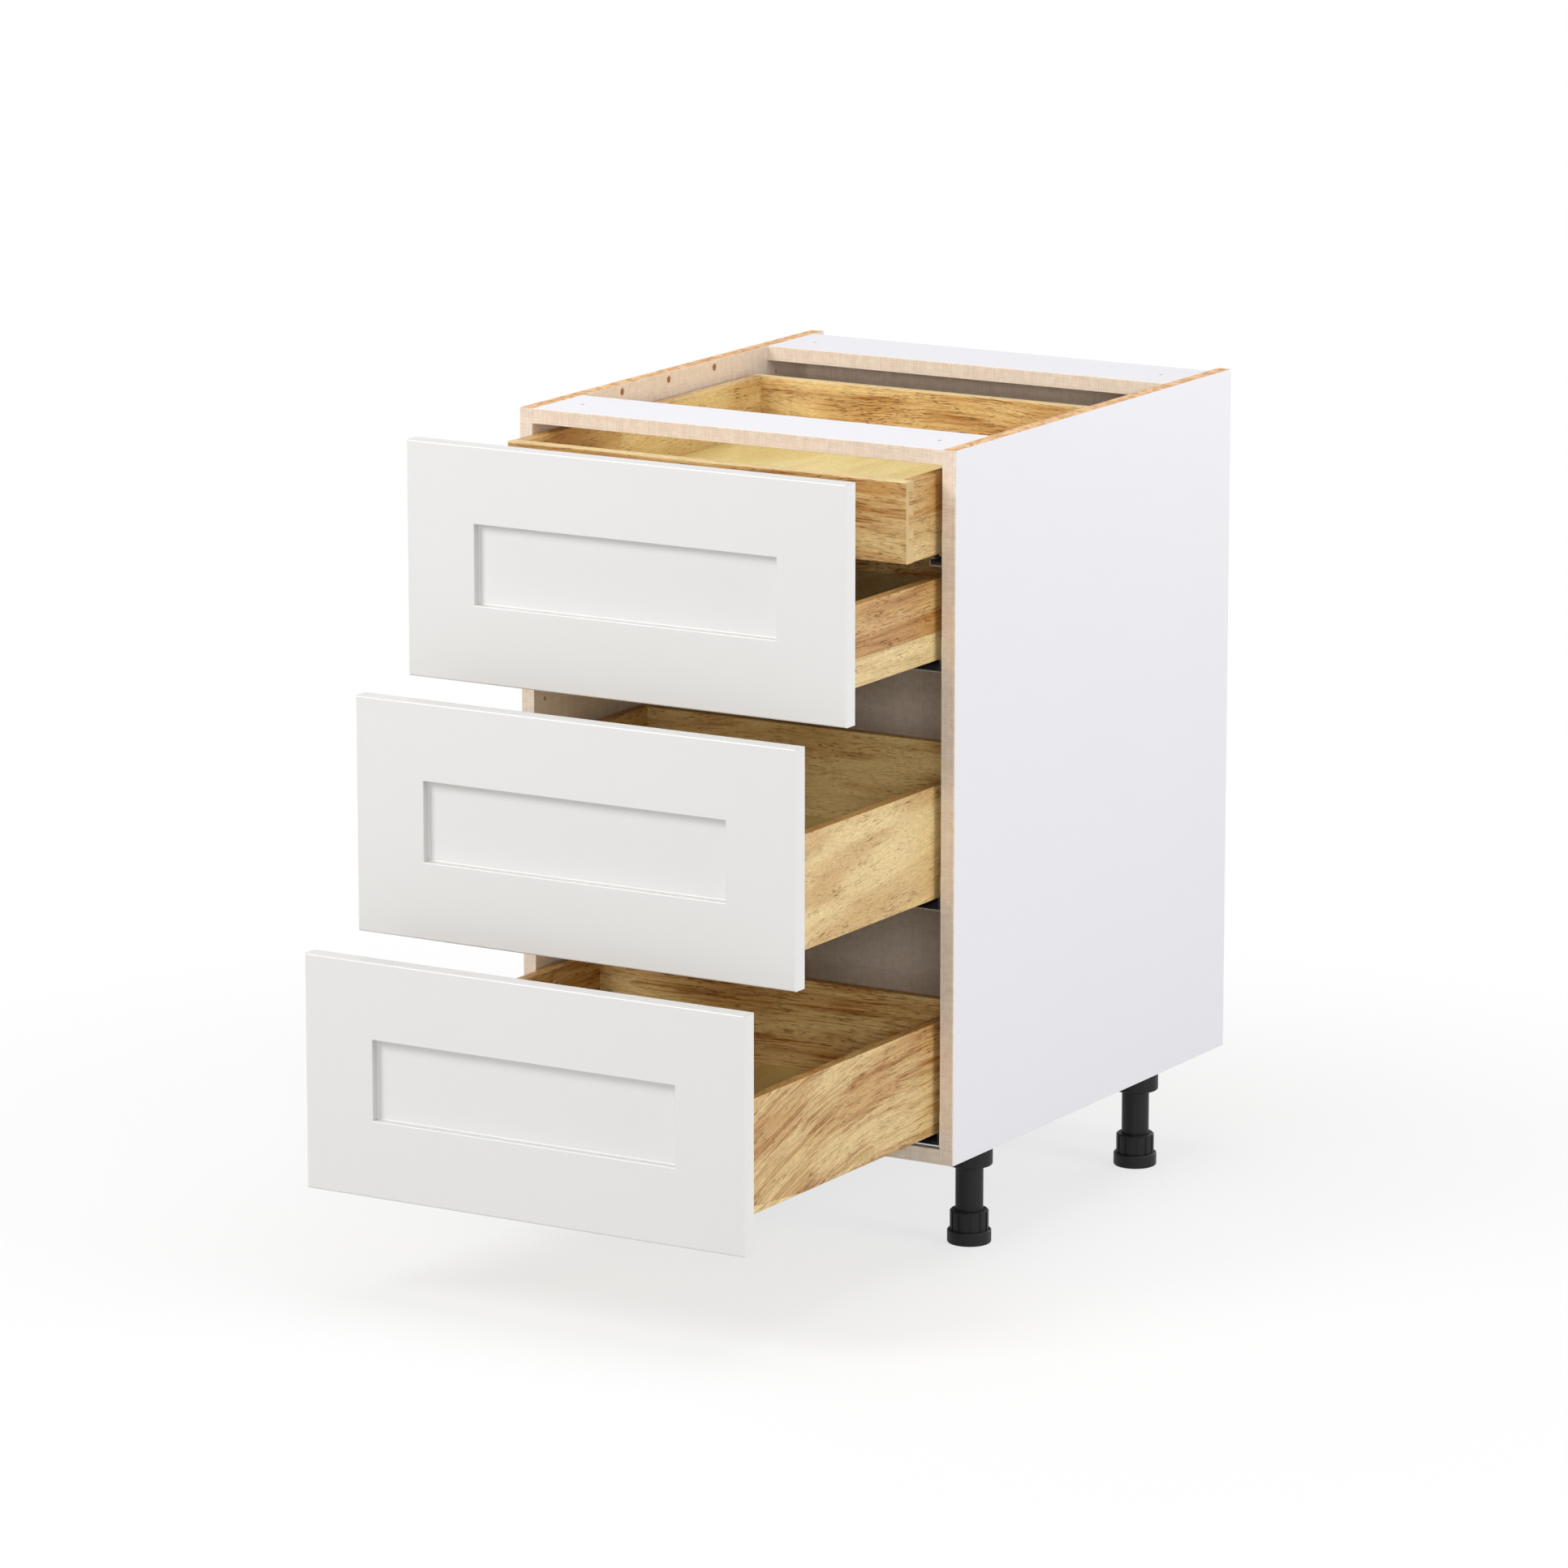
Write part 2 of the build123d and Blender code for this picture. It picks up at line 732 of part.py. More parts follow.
def decorative_front(drawer):
    """A front with a raised frame round a flat recessed panel."""
    half = front_width / 2
    y_span = (drawer.face - front_thickness, drawer.face)
    top = drawer.front_bottom + front_height
    slab = block((-half, half), y_span, (drawer.front_bottom, top))
    slab = fillet(slab.faces().sort_by(Axis.Y)[0].edges(), front_edge_round)
    recess_half = half - frame_width
    recess = block(
        (-recess_half, recess_half),
        (y_span[0], y_span[0] + recess_depth),
        (drawer.front_bottom + frame_width, top - frame_width),
    )
    slab -= recess
    rim = slab.faces().sort_by(Axis.Y)[0].inner_wires()[0].edges()
    slab = fillet(rim, recess_edge_round)
    foot = slab.faces().filter_by(Axis.Y).sort_by(Axis.Y)[1].edges()
    slab = fillet(foot, recess_foot_round)
    bore = front_screw_diameter + 2 * screw_play
    depth = front_screw_in_front + screw_play
    for x, z in front_screw_places(drawer):
        slab -= rod_y(x, (drawer.face - depth, drawer.face), z, bore)
    return slab


# ---- Locking clips ----
def clip_x():
    """X of the middle of the right locking clip."""
    return inner_half - channel_end - clip_gap - clip_width / 2


def clip_screw_places(drawer):
    """X and Y of the screws of both locking clips."""
    front = drawer.face + box_front_thickness
    ys = (front + clip_screw_end_inset, front + clip_length - clip_screw_end_inset)
    return [(side * clip_x(), y) for side in (-1, 1) for y in ys]


def locking_clip(drawer):
    """The right clip: a plate under the bottom, a body and a release lever."""
    front = drawer.face + box_front_thickness
    seat = drawer.base + bottom_recess
    x = clip_x()
    half = clip_width / 2
    plate_low = seat - clip_plate
    plate = block((x - half, x + half), (front, front + clip_length), (plate_low, seat))
    plate = fillet(plate.edges().filter_by(Axis.Z), clip_round)
    body_low = seat - clip_height
    wall = clip_plate
    for side in (x - half, x + half - wall):
        fin = (front + clip_round, front + clip_length - clip_round)
        plate += block((side, side + wall), fin, (body_low, plate_low))
    lever_half = clip_lever_width / 2
    lever_y = (front + clip_round, front + clip_round + wall)
    plate += block((x - half, x + half), lever_y, (body_low, plate_low))
    handle_y = (lever_y[1], lever_y[1] + clip_lever_length)
    handle_z = (body_low, body_low + wall)
    plate += block((x - lever_half, x + lever_half), handle_y, handle_z)
    for place_x, y in clip_screw_places(drawer):
        plate -= rod_z(place_x, y, (plate_low, seat), clip_screw_diameter + 2 * screw_play)
    return plate


def clip_screws(drawer):
    """The screws of both locking clips, driven up into the bottom."""
    seat = drawer.base + bottom_recess - clip_plate
    length = clip_plate + clip_screw_in_bottom
    one = screw(clip_screw_diameter, length, clip_screw_head, clip_screw_head_height)
    return [Pos(x, y, seat) * one for x, y in clip_screw_places(drawer)]


def front_screws(drawer):
    """The screws from inside the box into the decorative front."""
    inner = drawer.face + box_front_thickness
    length = box_front_thickness + front_screw_in_front
    one = screw(front_screw_diameter, length, front_screw_head, front_screw_head_height)
    turned = Rot(90, 0, 0) * one
    return [Pos(x, inner, z) * turned for x, z in front_screw_places(drawer)]


# ---- Writing the nodes ----
def save_carcass():
    """Writes the fixed pieces."""
    right = right_side_panel()
    save("right_side_panel", [right])
    save("left_side_panel", [mirror(right, about=Plane.YZ)])
    save("bottom_panel", [bottom_panel()])
    save("front_top_rail", [front_top_rail()])
    save("rear_top_rail", [rear_top_rail()])
    save("back_panel", [back_panel_hold(0, back_groove_depth)])
    save("side_edge_bands", both_sides([side_band()]))
    rail_span = (rail_bottom, carcass_top)
    save("rail_edge_bands", [cross_band(0, rail_span), cross_band(rear_rail_front, rail_span)])
    save("bottom_edge_band", [cross_band(0, (leg_height, floor_top))])
    save("carcass_dowels", both_sides(dowels()))
    save("cabinet_runner_members", both_sides([cabinet_member(drawer) for drawer in drawers]))
    screws = [one for drawer in drawers for one in runner_screws(drawer)]
    save("cabinet_runner_screws", both_sides(screws))


def save_legs():
    """Writes the sockets, their screws, the tubes and the four feet."""
    spots = [Pos(x, y, 0) for x, y in leg_places]
    socket = leg_socket()
    tube = leg_tube()
    foot = leg_foot()
    save("leg_sockets", [spot * socket for spot in spots])
    save("leg_tubes", [spot * tube for spot in spots])
    save("leg_socket_screws", [spot * one for spot in spots for one in leg_socket_screws()])
    names = ["foot_front_left", "foot_front_right", "foot_rear_left", "foot_rear_right"]
    for name, spot in zip(names, spots):
        save(name, [spot * foot])


def save_drawer(drawer):
    """Writes one drawer's box, runner members, clips and screws."""
    right = box_side(drawer)
    save(drawer.name + "_right_side", [right])
    save(drawer.name + "_left_side", [mirror(right, about=Plane.YZ)])
    save(drawer.name + "_box_front", [box_front(drawer)])
    save(drawer.name + "_box_back", [box_back(drawer)])
    save(drawer.name + "_bottom", [box_bottom(drawer)])
    save(drawer.name + "_runner_members", both_sides([drawer_member(drawer)]))
    save(drawer.name + "_middle_members", both_sides([middle_member(drawer)]))
    save(drawer.name + "_locking_clips", both_sides([locking_clip(drawer)]))
    fixings = clip_screws(drawer)
    if drawer.has_front:
        fixings += front_screws(drawer)
        save(drawer.name + "_front", [decorative_front(drawer)])
    save(drawer.name + "_screws", fixings)


os.makedirs("parts", exist_ok=True)
save_carcass()
save_legs()
for each_drawer in drawers:
    save_drawer(each_drawer)
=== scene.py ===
from dataclasses import dataclass
from math import cos, pi, radians, sin

import bpy
from bpy.props import FloatProperty, FloatVectorProperty, PointerProperty
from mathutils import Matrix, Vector


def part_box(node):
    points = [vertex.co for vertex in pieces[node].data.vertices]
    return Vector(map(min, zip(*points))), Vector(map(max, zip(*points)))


bl_info = {
    "name": "Base cabinet with drawers",
    "version": (1, 0, 0),
    "blender": (4, 5, 0),
    "location": "3D View > Sidebar > Cabinet",
    "description": "Finishes for a kitchen base cabinet with its drawers open, on a plain pale stage",
    "category": "Object",
}

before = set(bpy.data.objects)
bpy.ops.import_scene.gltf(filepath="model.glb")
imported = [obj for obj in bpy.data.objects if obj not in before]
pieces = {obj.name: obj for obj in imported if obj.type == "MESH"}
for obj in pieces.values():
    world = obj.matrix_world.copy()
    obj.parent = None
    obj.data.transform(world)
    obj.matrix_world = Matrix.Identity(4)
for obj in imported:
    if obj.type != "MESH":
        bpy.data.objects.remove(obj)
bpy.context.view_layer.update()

DRAWERS = ("inner_drawer", "top_drawer", "middle_drawer", "bottom_drawer")
FRONTED_DRAWERS = DRAWERS[1:]


def srgb(red, green, blue):
    """A display colour from 0 to 255 as the linear colour that a shader takes."""
    def channel(value):
        value = value / 255
        if value <= 0.04045:
            return value / 12.92
        return ((value + 0.055) / 1.055) ** 2.4
    return (channel(red), channel(green), channel(blue), 1.0)


# ---- Settings ----
def colour_setting(name, description, default):
    """A colour that a user can change."""
    return FloatVectorProperty(
        name=name, description=description, default=default, subtype="COLOR", size=4, min=0, max=1
    )


def length_setting(name, description, default):
    """A length that a user can change, in metres."""
    return FloatProperty(
        name=name, description=description, default=default, unit="LENGTH", min=0, precision=4
    )


def share_setting(name, description, default):
    """A share from 0 to 1 that a user can change."""
    return FloatProperty(
        name=name, description=description, default=default, subtype="FACTOR", min=0, max=1
    )


class CarcassFinish(bpy.types.PropertyGroup):
    """Colours and sizes of the carcass's boards and edge bands."""

    white: colour_setting("White", "Melamine on the outer faces", srgb(237, 236, 241))
    linen_ground: colour_setting("Linen ground", "Ground of the linen pattern", srgb(252, 237, 219))
    linen_thread: colour_setting("Linen thread", "Threads of the linen pattern", srgb(194, 165, 144))
    linen_pitch: length_setting("Thread pitch", "Distance between the coarse threads", 0.002)
    skin: length_setting("Skin", "Thickness of the melamine that shows at a raw edge", 0.0005)
    chip_light: colour_setting("Light chips", "Pale chips of the raw board", srgb(244, 205, 158))
    chip_dark: colour_setting("Dark chips", "Dark chips of the raw board", srgb(206, 150, 98))
    chip_size: length_setting("Chip size", "Length of a chip in the raw board", 0.0035)
    fibreboard: colour_setting("Hardboard", "Rear face of the back panel", srgb(176, 140, 104))


class DrawerFinish(bpy.types.PropertyGroup):
    """Colours of the drawer boxes and their fronts."""

    pale_wood: colour_setting("Pale wood", "Palest staves", srgb(237, 211, 152))
    brown_wood: colour_setting("Brown wood", "Brownest staves", srgb(198, 151, 88))
    streak: colour_setting("Streaks", "Brown streaks along the grain", srgb(160, 102, 36))
    pore: colour_setting("Pores", "Open pores", srgb(108, 66, 20))
    end_grain: colour_setting("End grain", "Sawn ends of the boards", srgb(220, 187, 132))
    plywood: colour_setting("Plywood", "Face of the drawer bottoms", srgb(243, 225, 158))
    # Painted light: a paler plywood for the top drawer's bottom, which lies in shade.
    plywood_painted_light: colour_setting("Plywood with painted light", "Painted light on a bottom in shade", srgb(252, 244, 212))
    plywood_line: colour_setting("Plywood figure", "Faint figure of the bottoms", srgb(222, 194, 118))
    lacquer: colour_setting("Lacquer", "Paint of the fronts", srgb(235, 234, 232))
    # Painted shade: a darker lacquer on the fronts' top edges and recess walls.
    lacquer_painted_shade: colour_setting(
        "Lacquer in painted shade", "Painted shade on the upper edges and the recess walls", srgb(216, 214, 212)
    )


class MetalFinish(bpy.types.PropertyGroup):
    """Colours of the runners and the screws."""

    zinc: colour_setting("Zinc", "Plating of the runners", srgb(205, 207, 208))
    screw: colour_setting("Screw steel", "Plating of the screws", srgb(196, 197, 199))


class PlasticFinish(bpy.types.PropertyGroup):
    """Colours of the legs and the clips."""

    leg: colour_setting("Legs", "Moulded plastic of the legs", srgb(22, 23, 23))
    clip: colour_setting("Clips", "Moulded plastic of the locking clips", srgb(92, 93, 95))


class StageSettings(bpy.types.PropertyGroup):
    """The camera, the lamps and the floor."""

    bearing: FloatProperty(
        name="Bearing", description="Turn of the camera round the cabinet",
        default=radians(30.783), subtype="ANGLE",
    )
    elevation: FloatProperty(
        name="Elevation", description="Height of the camera above the horizon",
        default=radians(12.266), subtype="ANGLE",
    )
    distance: length_setting("Distance", "From the camera to its aim point", 8.5262)
    aim_y: length_setting("Aim depth", "Y of the point that the camera aims at", 0.0073)
    aim_z: length_setting("Aim height", "Height of the point that the camera aims at", 0.4769)
    lens: FloatProperty(
        name="Lens", description="Focal length of the camera", default=183.28, unit="CAMERA"
    )
    ambient: FloatProperty(name="Ambient", description="Strength of the even light", default=0.3)
    key: FloatProperty(name="Key", description="Light of the front left lamp", default=0.48)
    side: FloatProperty(name="Side", description="Light of the right lamp", default=0.36)
    top: FloatProperty(name="Top", description="Light of the top lamp", default=0.35)
    back: FloatProperty(name="Back", description="Light of the rear lamp", default=0.24)
    fill: FloatProperty(name="Fill", description="Light of the lamp at the camera", default=0.2)
    floor: colour_setting("Floor", "Pale floor, as it looks", srgb(247, 247, 247))
    bounce: colour_setting("Floor bounce", "Floor as it lights the cabinet", srgb(190, 190, 190))


# ---- Building node trees ----
class Tree:
    """Adds nodes to one tree. A value is a number, a colour or another node's output."""

    def __init__(self, tree):
        self.tree = tree

    def put(self, socket, value):
        """Links an output into a socket, or sets the socket's own value."""
        if isinstance(value, bpy.types.NodeSocket):
            self.tree.links.new(value, socket)
        else:
            socket.default_value = value

    def add(self, kind, values=(), **settings):
        """Adds a node, sets its settings and fills its inputs by name or number."""
        node = self.tree.nodes.new(kind)
        for name, setting in settings.items():
            setattr(node, name, setting)
        for key, value in dict(values).items():
            self.put(node.inputs[key], value)
        return node

    def math(self, operation, *values):
        """One math step, with its result clamped only where the caller says so."""
        return self.add("ShaderNodeMath", dict(enumerate(values)), operation=operation).outputs[0]

    def vector(self, operation, *values):
        """One vector math step."""
        node = self.add("ShaderNodeVectorMath", dict(enumerate(values)), operation=operation)
        return node.outputs[0]

    def stretch(self, place, x, y, z):
        """The place with each of its axes multiplied."""
        return self.vector("MULTIPLY", place, (x, y, z))

    def scaled(self, place, factor):
        """The place with all its axes multiplied alike."""
        return self.stretch(place, factor, factor, factor)

    def parts(self, place):
        """The X, Y and Z of a place."""
        return self.add("ShaderNodeSeparateXYZ", {0: place}).outputs

    def whole(self, x, y, z):
        """A place from its X, Y and Z."""
        return self.add("ShaderNodeCombineXYZ", {0: x, 1: y, 2: z}).outputs[0]

    def noise(self, place, detail=2.0, roughness=0.5):
        """Noise from 0 to 1, one swell per unit of the place."""
        values = {"Vector": place, "Scale": 1.0, "Detail": detail, "Roughness": roughness}
        return self.add("ShaderNodeTexNoise", values).outputs["Fac"]

    def between(self, value, low, high, to_low=0.0, to_high=1.0):
        """Turns the span from low to high smoothly into the span from to_low to to_high."""
        values = {0: value, 1: low, 2: high, 3: to_low, 4: to_high}
        return self.add("ShaderNodeMapRange", values, interpolation_type="SMOOTHSTEP").outputs[0]

    def blend(self, share, first, second, mode="MIX"):
        """A share of the second colour over the first."""
        node = self.add("ShaderNodeMix", data_type="RGBA", blend_type=mode)
        for number, value in ((0, share), (6, first), (7, second)):
            self.put(node.inputs[number], value)
        return node.outputs[2]

    def group(self, tree, values):
        """Places a node group and fills its inputs."""
        node = self.tree.nodes.new("ShaderNodeGroup")
        node.node_tree = tree
        for key, value in values.items():
            self.put(node.inputs[key], value)
        return node.outputs


SOCKET_KINDS = {"place": "NodeSocketVector", "colour": "NodeSocketColor", "value": "NodeSocketFloat"}


class Effect(Tree):
    """A shader node group with named inputs and outputs."""

    def __init__(self, name, inputs, outputs):
        super().__init__(bpy.data.node_groups.new(name, "ShaderNodeTree"))
        for direction, sockets in (("INPUT", inputs), ("OUTPUT", outputs)):
            for socket, kind in sockets.items():
                self.tree.interface.new_socket(
                    name=socket, in_out=direction, socket_type=SOCKET_KINDS[kind]
                )
        self.given = self.tree.nodes.new("NodeGroupInput").outputs
        self.made = self.tree.nodes.new("NodeGroupOutput").inputs

    def give(self, **values):
        """Feeds the group's outputs."""
        for name, value in values.items():
            self.put(self.made[name], value)


class Finish(Tree):
    """A material with one main shader, and the place on the piece that its patterns follow."""

    def __init__(self, name, constants):
        self.material = bpy.data.materials.new(name)
        self.material.use_nodes = True
        super().__init__(self.material.node_tree)
        self.shader = self.tree.nodes["Principled BSDF"]
        self.place = self.add("ShaderNodeTexCoord").outputs["Object"]
        for socket, value in constants.items():
            self.shader.inputs[socket].default_value = value

    def set(self, **values):
        """Feeds the shader's varying inputs, such as Base_Color."""
        for name, value in values.items():
            self.put(self.shader.inputs[name.replace("_", " ")], value)

    def relief(self, height, depth):
        """Turns a height from 0 to 1 into relief of that depth."""
        bump = self.add("ShaderNodeBump", {"Height": height, "Distance": depth, "Strength": 1.0})
        self.put(self.shader.inputs["Normal"], bump.outputs[0])

    def paint(self, *names):
        """Gives CAD pieces this material."""
        for name in names:
            mesh = pieces[name].data
            mesh.materials.clear()
            mesh.materials.append(self.material)


# ---- Effects that several materials share ----
# How many swells per metre the linen's irregularities have.
THREAD_SWAY = 60.0
THREAD_WEAR = 70.0
FINE_THREADS = 900.0
SLUBS = 110.0


def linen_weave():
    """A printed linen pattern: coarse threads both ways, each of its own strength."""
    sockets = {"Across": "value", "Up": "value", "Pitch": "value", "Ground": "colour",
               "Thread": "colour"}
    effect = Effect("Linen weave", sockets, {"Color": "colour", "Height": "value"})
    given = effect.given

    def mottle(across, up, swells):
        """Even noise over the flat face."""
        flat = effect.whole(effect.math("MULTIPLY", across, swells),
                            effect.math("MULTIPLY", up, swells), 0.0)
        return effect.noise(flat)

    def threads(across, along):
        """Lines that run along one way, spaced the other way."""
        sway = mottle(across, along, THREAD_SWAY)
        turns = effect.math("ADD", effect.math("DIVIDE", across, given["Pitch"]),
                            effect.math("MULTIPLY", sway, 0.12))
        number = effect.math("FLOOR", turns)
        from_middle = effect.math("ABSOLUTE", effect.math("SUBTRACT",
                                  effect.math("FRACT", turns), 0.5))
        line = effect.between(from_middle, 0.0, 0.36, 1.0, 0.0)
        own = effect.add("ShaderNodeTexWhiteNoise", {"W": number}, noise_dimensions="1D")
        strength = effect.math("MULTIPLY_ADD", own.outputs["Value"], 0.85, 0.15)
        length = effect.math("MULTIPLY", along, THREAD_WEAR)
        worn = effect.noise(effect.whole(number, length, 0.0), 3.0)
        line = effect.math("MULTIPLY", line, effect.between(worn, 0.3, 0.65, 0.3, 1.0))
        return effect.math("MULTIPLY", line, strength)

    crosswise = threads(given["Across"], given["Up"])
    upward = threads(given["Up"], given["Across"])
    both = effect.math("ADD", crosswise, upward)
    fine = mottle(given["Across"], given["Up"], FINE_THREADS)
    slub = mottle(given["Across"], given["Up"], SLUBS)
    share = effect.math("ADD", effect.math("MULTIPLY", both, 0.42),
                        effect.between(fine, 0.4, 0.8, 0.0, 0.12))
    share = effect.math("ADD", share, effect.between(slub, 0.3, 0.7, 0.0, 0.16))
    effect.give(Color=effect.blend(share, given["Ground"], given["Thread"]), Height=both)
    return effect.tree


# Swells per chip: the chips' own outlines, the bends in them and the fibres on them.
CHIP_SHAPE = (0.7, 0.45, 1.3)
CHIP_BENDS = 0.6
CHIP_FIBRES = (3.0, 2.0, 6.0)


def raw_chips():
    """Raw particleboard: short chips of differing tone, with pits between them."""
    sockets = {"Place": "place", "Size": "value", "Light": "colour", "Dark": "colour"}
    effect = Effect("Raw chips", sockets, {"Color": "colour", "Height": "value"})
    given = effect.given
    scale = effect.math("DIVIDE", 1.0, given["Size"])
    place = effect.add("ShaderNodeVectorMath", {0: given["Place"], "Scale": scale},
                       operation="SCALE").outputs[0]
    bend = effect.add("ShaderNodeTexNoise", {"Vector": place, "Scale": CHIP_BENDS,
                                             "Detail": 2.0})
    bent = effect.vector("ADD", place, bend.outputs["Color"])
    cells = effect.add("ShaderNodeTexVoronoi", {"Vector": effect.stretch(bent, *CHIP_SHAPE),
                                                "Scale": 1.0})
    tone = effect.parts(cells.outputs["Color"])[0]
    fine = effect.noise(effect.stretch(place, *CHIP_FIBRES), 3.0)
    share = effect.between(effect.math("ADD", effect.math("MULTIPLY", tone, 0.65),
                                       effect.math("MULTIPLY", fine, 0.5)), 0.2, 0.95)
    effect.give(Color=effect.blend(share, given["Light"], given["Dark"]), Height=fine)
    return effect.tree


# How many swells each layer of the grain has per metre, along the grain and across it.
SWAY = (5.0, 9.0)
CLOUDS = (7.0, 32.0)
BANDS = (5.0, 95.0)
LINES = (11.0, 520.0)
FIBRES = (130.0, 1200.0)
DASHES = (85.0, 950.0)
CROWDS = (24.0, 80.0)
SWAY_REACH = 0.022


def wood_grain():
    """Light hardwood with its grain along X: soft tone, brown streaks, fibres and dark pores."""
    sockets = {"Place": "place", "Tone": "value", "Streaks": "value", "Pores": "value",
               "Pale": "colour", "Brown": "colour", "Streak": "colour", "Pore": "colour"}
    effect = Effect("Wood grain", sockets, {"Color": "colour", "Roughness": "value",
                                            "Height": "value"})
    given = effect.given

    def layer(place, swells, detail, roughness=0.5):
        """Noise drawn out along the grain."""
        along, across = swells
        return effect.noise(effect.stretch(place, along, across, across), detail, roughness)

    sway = effect.math("SUBTRACT", layer(given["Place"], SWAY, 1.0), 0.5)
    drift = effect.math("MULTIPLY", sway, SWAY_REACH)
    place = effect.vector("ADD", given["Place"], effect.whole(0.0, drift, drift))

    cloud = layer(place, CLOUDS, 2.0)
    tone = effect.math("ADD", given["Tone"], effect.between(cloud, 0.32, 0.68, -0.3, 0.3))
    tone = effect.math("MINIMUM", effect.math("MAXIMUM", tone, 0.0), 1.0)
    colour = effect.blend(tone, given["Pale"], given["Brown"])

    bands = layer(place, BANDS, 3.0, 0.55)
    lines = layer(place, LINES, 3.0, 0.6)
    streak = effect.math("ADD", effect.between(bands, 0.45, 0.7, 0.0, 0.8),
                         effect.between(lines, 0.47, 0.66, 0.0, 0.7))
    streak = effect.math("MULTIPLY", effect.math("MULTIPLY", streak, given["Streaks"]),
                         effect.between(tone, 0.0, 0.5, 0.35, 1.0))
    colour = effect.blend(effect.math("MINIMUM", streak, 1.0), colour, given["Streak"])

    fibre = layer(place, FIBRES, 3.0)
    fibre_tone = effect.between(fibre, 0.28, 0.72, 0.83, 1.13)
    colour = effect.vector("MULTIPLY", colour, effect.whole(fibre_tone, fibre_tone, fibre_tone))

    dashes = layer(place, DASHES, 1.5, 0.55)
    crowd = layer(place, CROWDS, 1.5)
    crowd = effect.math("ADD", effect.between(crowd, 0.36, 0.66),
                        effect.math("MULTIPLY", streak, 0.5))
    limit = effect.between(crowd, 0.0, 1.3, 0.685, 0.55)
    pore = effect.between(effect.math("SUBTRACT", dashes, limit), -0.02, 0.06)
    pore = effect.math("MULTIPLY", pore, given["Pores"])
    depth = effect.between(tone, 0.0, 0.8, 0.5, 0.85)
    colour = effect.blend(effect.math("MULTIPLY", pore, depth), colour, given["Pore"])
    height = effect.math("SUBTRACT", effect.math("MULTIPLY", fibre, 0.2), pore)
    effect.give(Color=colour, Height=height, Roughness=effect.between(pore, 0.0, 1.0, 0.42, 0.7))
    return effect.tree


FINGER_PITCH = 0.0045
FINGER_LENGTH = 0.009
GLUE_LINE = (0.0001, 0.0005)


def glued_staves():
    """Where a glued board changes stave: below a seam, and behind a finger joint."""
    sockets = {"Along": "value", "Up": "value", "Seam": "value", "Joint": "value"}
    effect = Effect("Glued staves", sockets, {"Low": "value", "Rear": "value", "Line": "value"})
    given = effect.given
    finger = effect.math("PINGPONG", given["Up"], FINGER_PITCH / 2)
    finger = effect.math("MULTIPLY", finger, 2 * FINGER_LENGTH / FINGER_PITCH)
    past_joint = effect.math("SUBTRACT", effect.math("ADD", given["Along"], finger),
                             given["Joint"])
    over_seam = effect.math("SUBTRACT", given["Up"], given["Seam"])
    nearest = effect.math("MINIMUM", effect.math("ABSOLUTE", past_joint),
                          effect.math("ABSOLUTE", over_seam))
    effect.give(Low=effect.math("LESS_THAN", over_seam, 0.0),
                Rear=effect.math("GREATER_THAN", past_joint, 0.0),
                Line=effect.between(nearest, *GLUE_LINE, 1.0, 0.0))
    return effect.tree


# How many swells per metre worn edges and handled surfaces have.
WEAR_RAGS = 160.0
HANDLED_CLOUDS = 7.0
HANDLED_SPECKS = 900.0


def edge_wear():
    """A ragged mask along the edges of a piece's box, where hands and cloths rub it."""
    sockets = {"Place": "place", "Low": "place", "High": "place", "Width": "value"}
    effect = Effect("Edge wear", sockets, {"Wear": "value"})
    given = effect.given
    low = effect.parts(effect.vector("SUBTRACT", given["Place"], given["Low"]))
    high = effect.parts(effect.vector("SUBTRACT", given["High"], given["Place"]))
    x, y, z = (effect.math("MINIMUM", low[axis], high[axis]) for axis in range(3))
    pairs = [effect.math("MAXIMUM", x, y), effect.math("MAXIMUM", y, z),
             effect.math("MAXIMUM", x, z)]
    to_edge = effect.math("MINIMUM", effect.math("MINIMUM", pairs[0], pairs[1]), pairs[2])
    ragged = effect.noise(effect.scaled(given["Place"], WEAR_RAGS), 4.0, 0.65)
    reach = effect.math("MULTIPLY", given["Width"], effect.between(ragged, 0.3, 0.75, 0.2, 1.6))
    share = effect.math("DIVIDE", to_edge, reach)
    effect.give(Wear=effect.between(share, 0.3, 1.0, 1.0, 0.0))
    return effect.tree


def handled_surface():
    """Faint clouds and fine specks that vary a surface's tone and gloss."""
    sockets = {"Place": "place", "Color": "colour", "Change": "value"}
    effect = Effect("Handled surface", sockets, {"Color": "colour", "Cloud": "value",
                                                 "Grain": "value"})
    given = effect.given
    cloud = effect.noise(effect.scaled(given["Place"], HANDLED_CLOUDS), 4.0, 0.6)
    grain = effect.noise(effect.scaled(given["Place"], HANDLED_SPECKS))
    change = effect.math("MULTIPLY", effect.math("SUBTRACT", cloud, 0.5), given["Change"])
    speck = effect.math("MULTIPLY", effect.math("SUBTRACT", grain, 0.5), given["Change"])
    tone = effect.math("ADD", 1.0, effect.math("ADD", change, effect.math("MULTIPLY", speck, 0.5)))
    colour = effect.vector("MULTIPLY", given["Color"], effect.whole(tone, tone, tone))
    effect.give(Color=colour, Cloud=cloud, Grain=grain)
    return effect.tree


EFFECTS = {"linen": linen_weave, "chips": raw_chips, "wood": wood_grain, "staves": glued_staves,
           "wear": edge_wear, "handled": handled_surface}
effect_trees = {}


def effect_tree(name):
    """The node group of that effect, built the first time it is asked for."""
    if name not in effect_trees:
        effect_trees[name] = EFFECTS[name]()
    return effect_trees[name]


def handled_skin(finish, colour, change):
    """A colour that clouds and specks vary by up to that share."""
    return finish.group(effect_tree("handled"), {
        "Place": finish.place, "Color": colour, "Change": change})


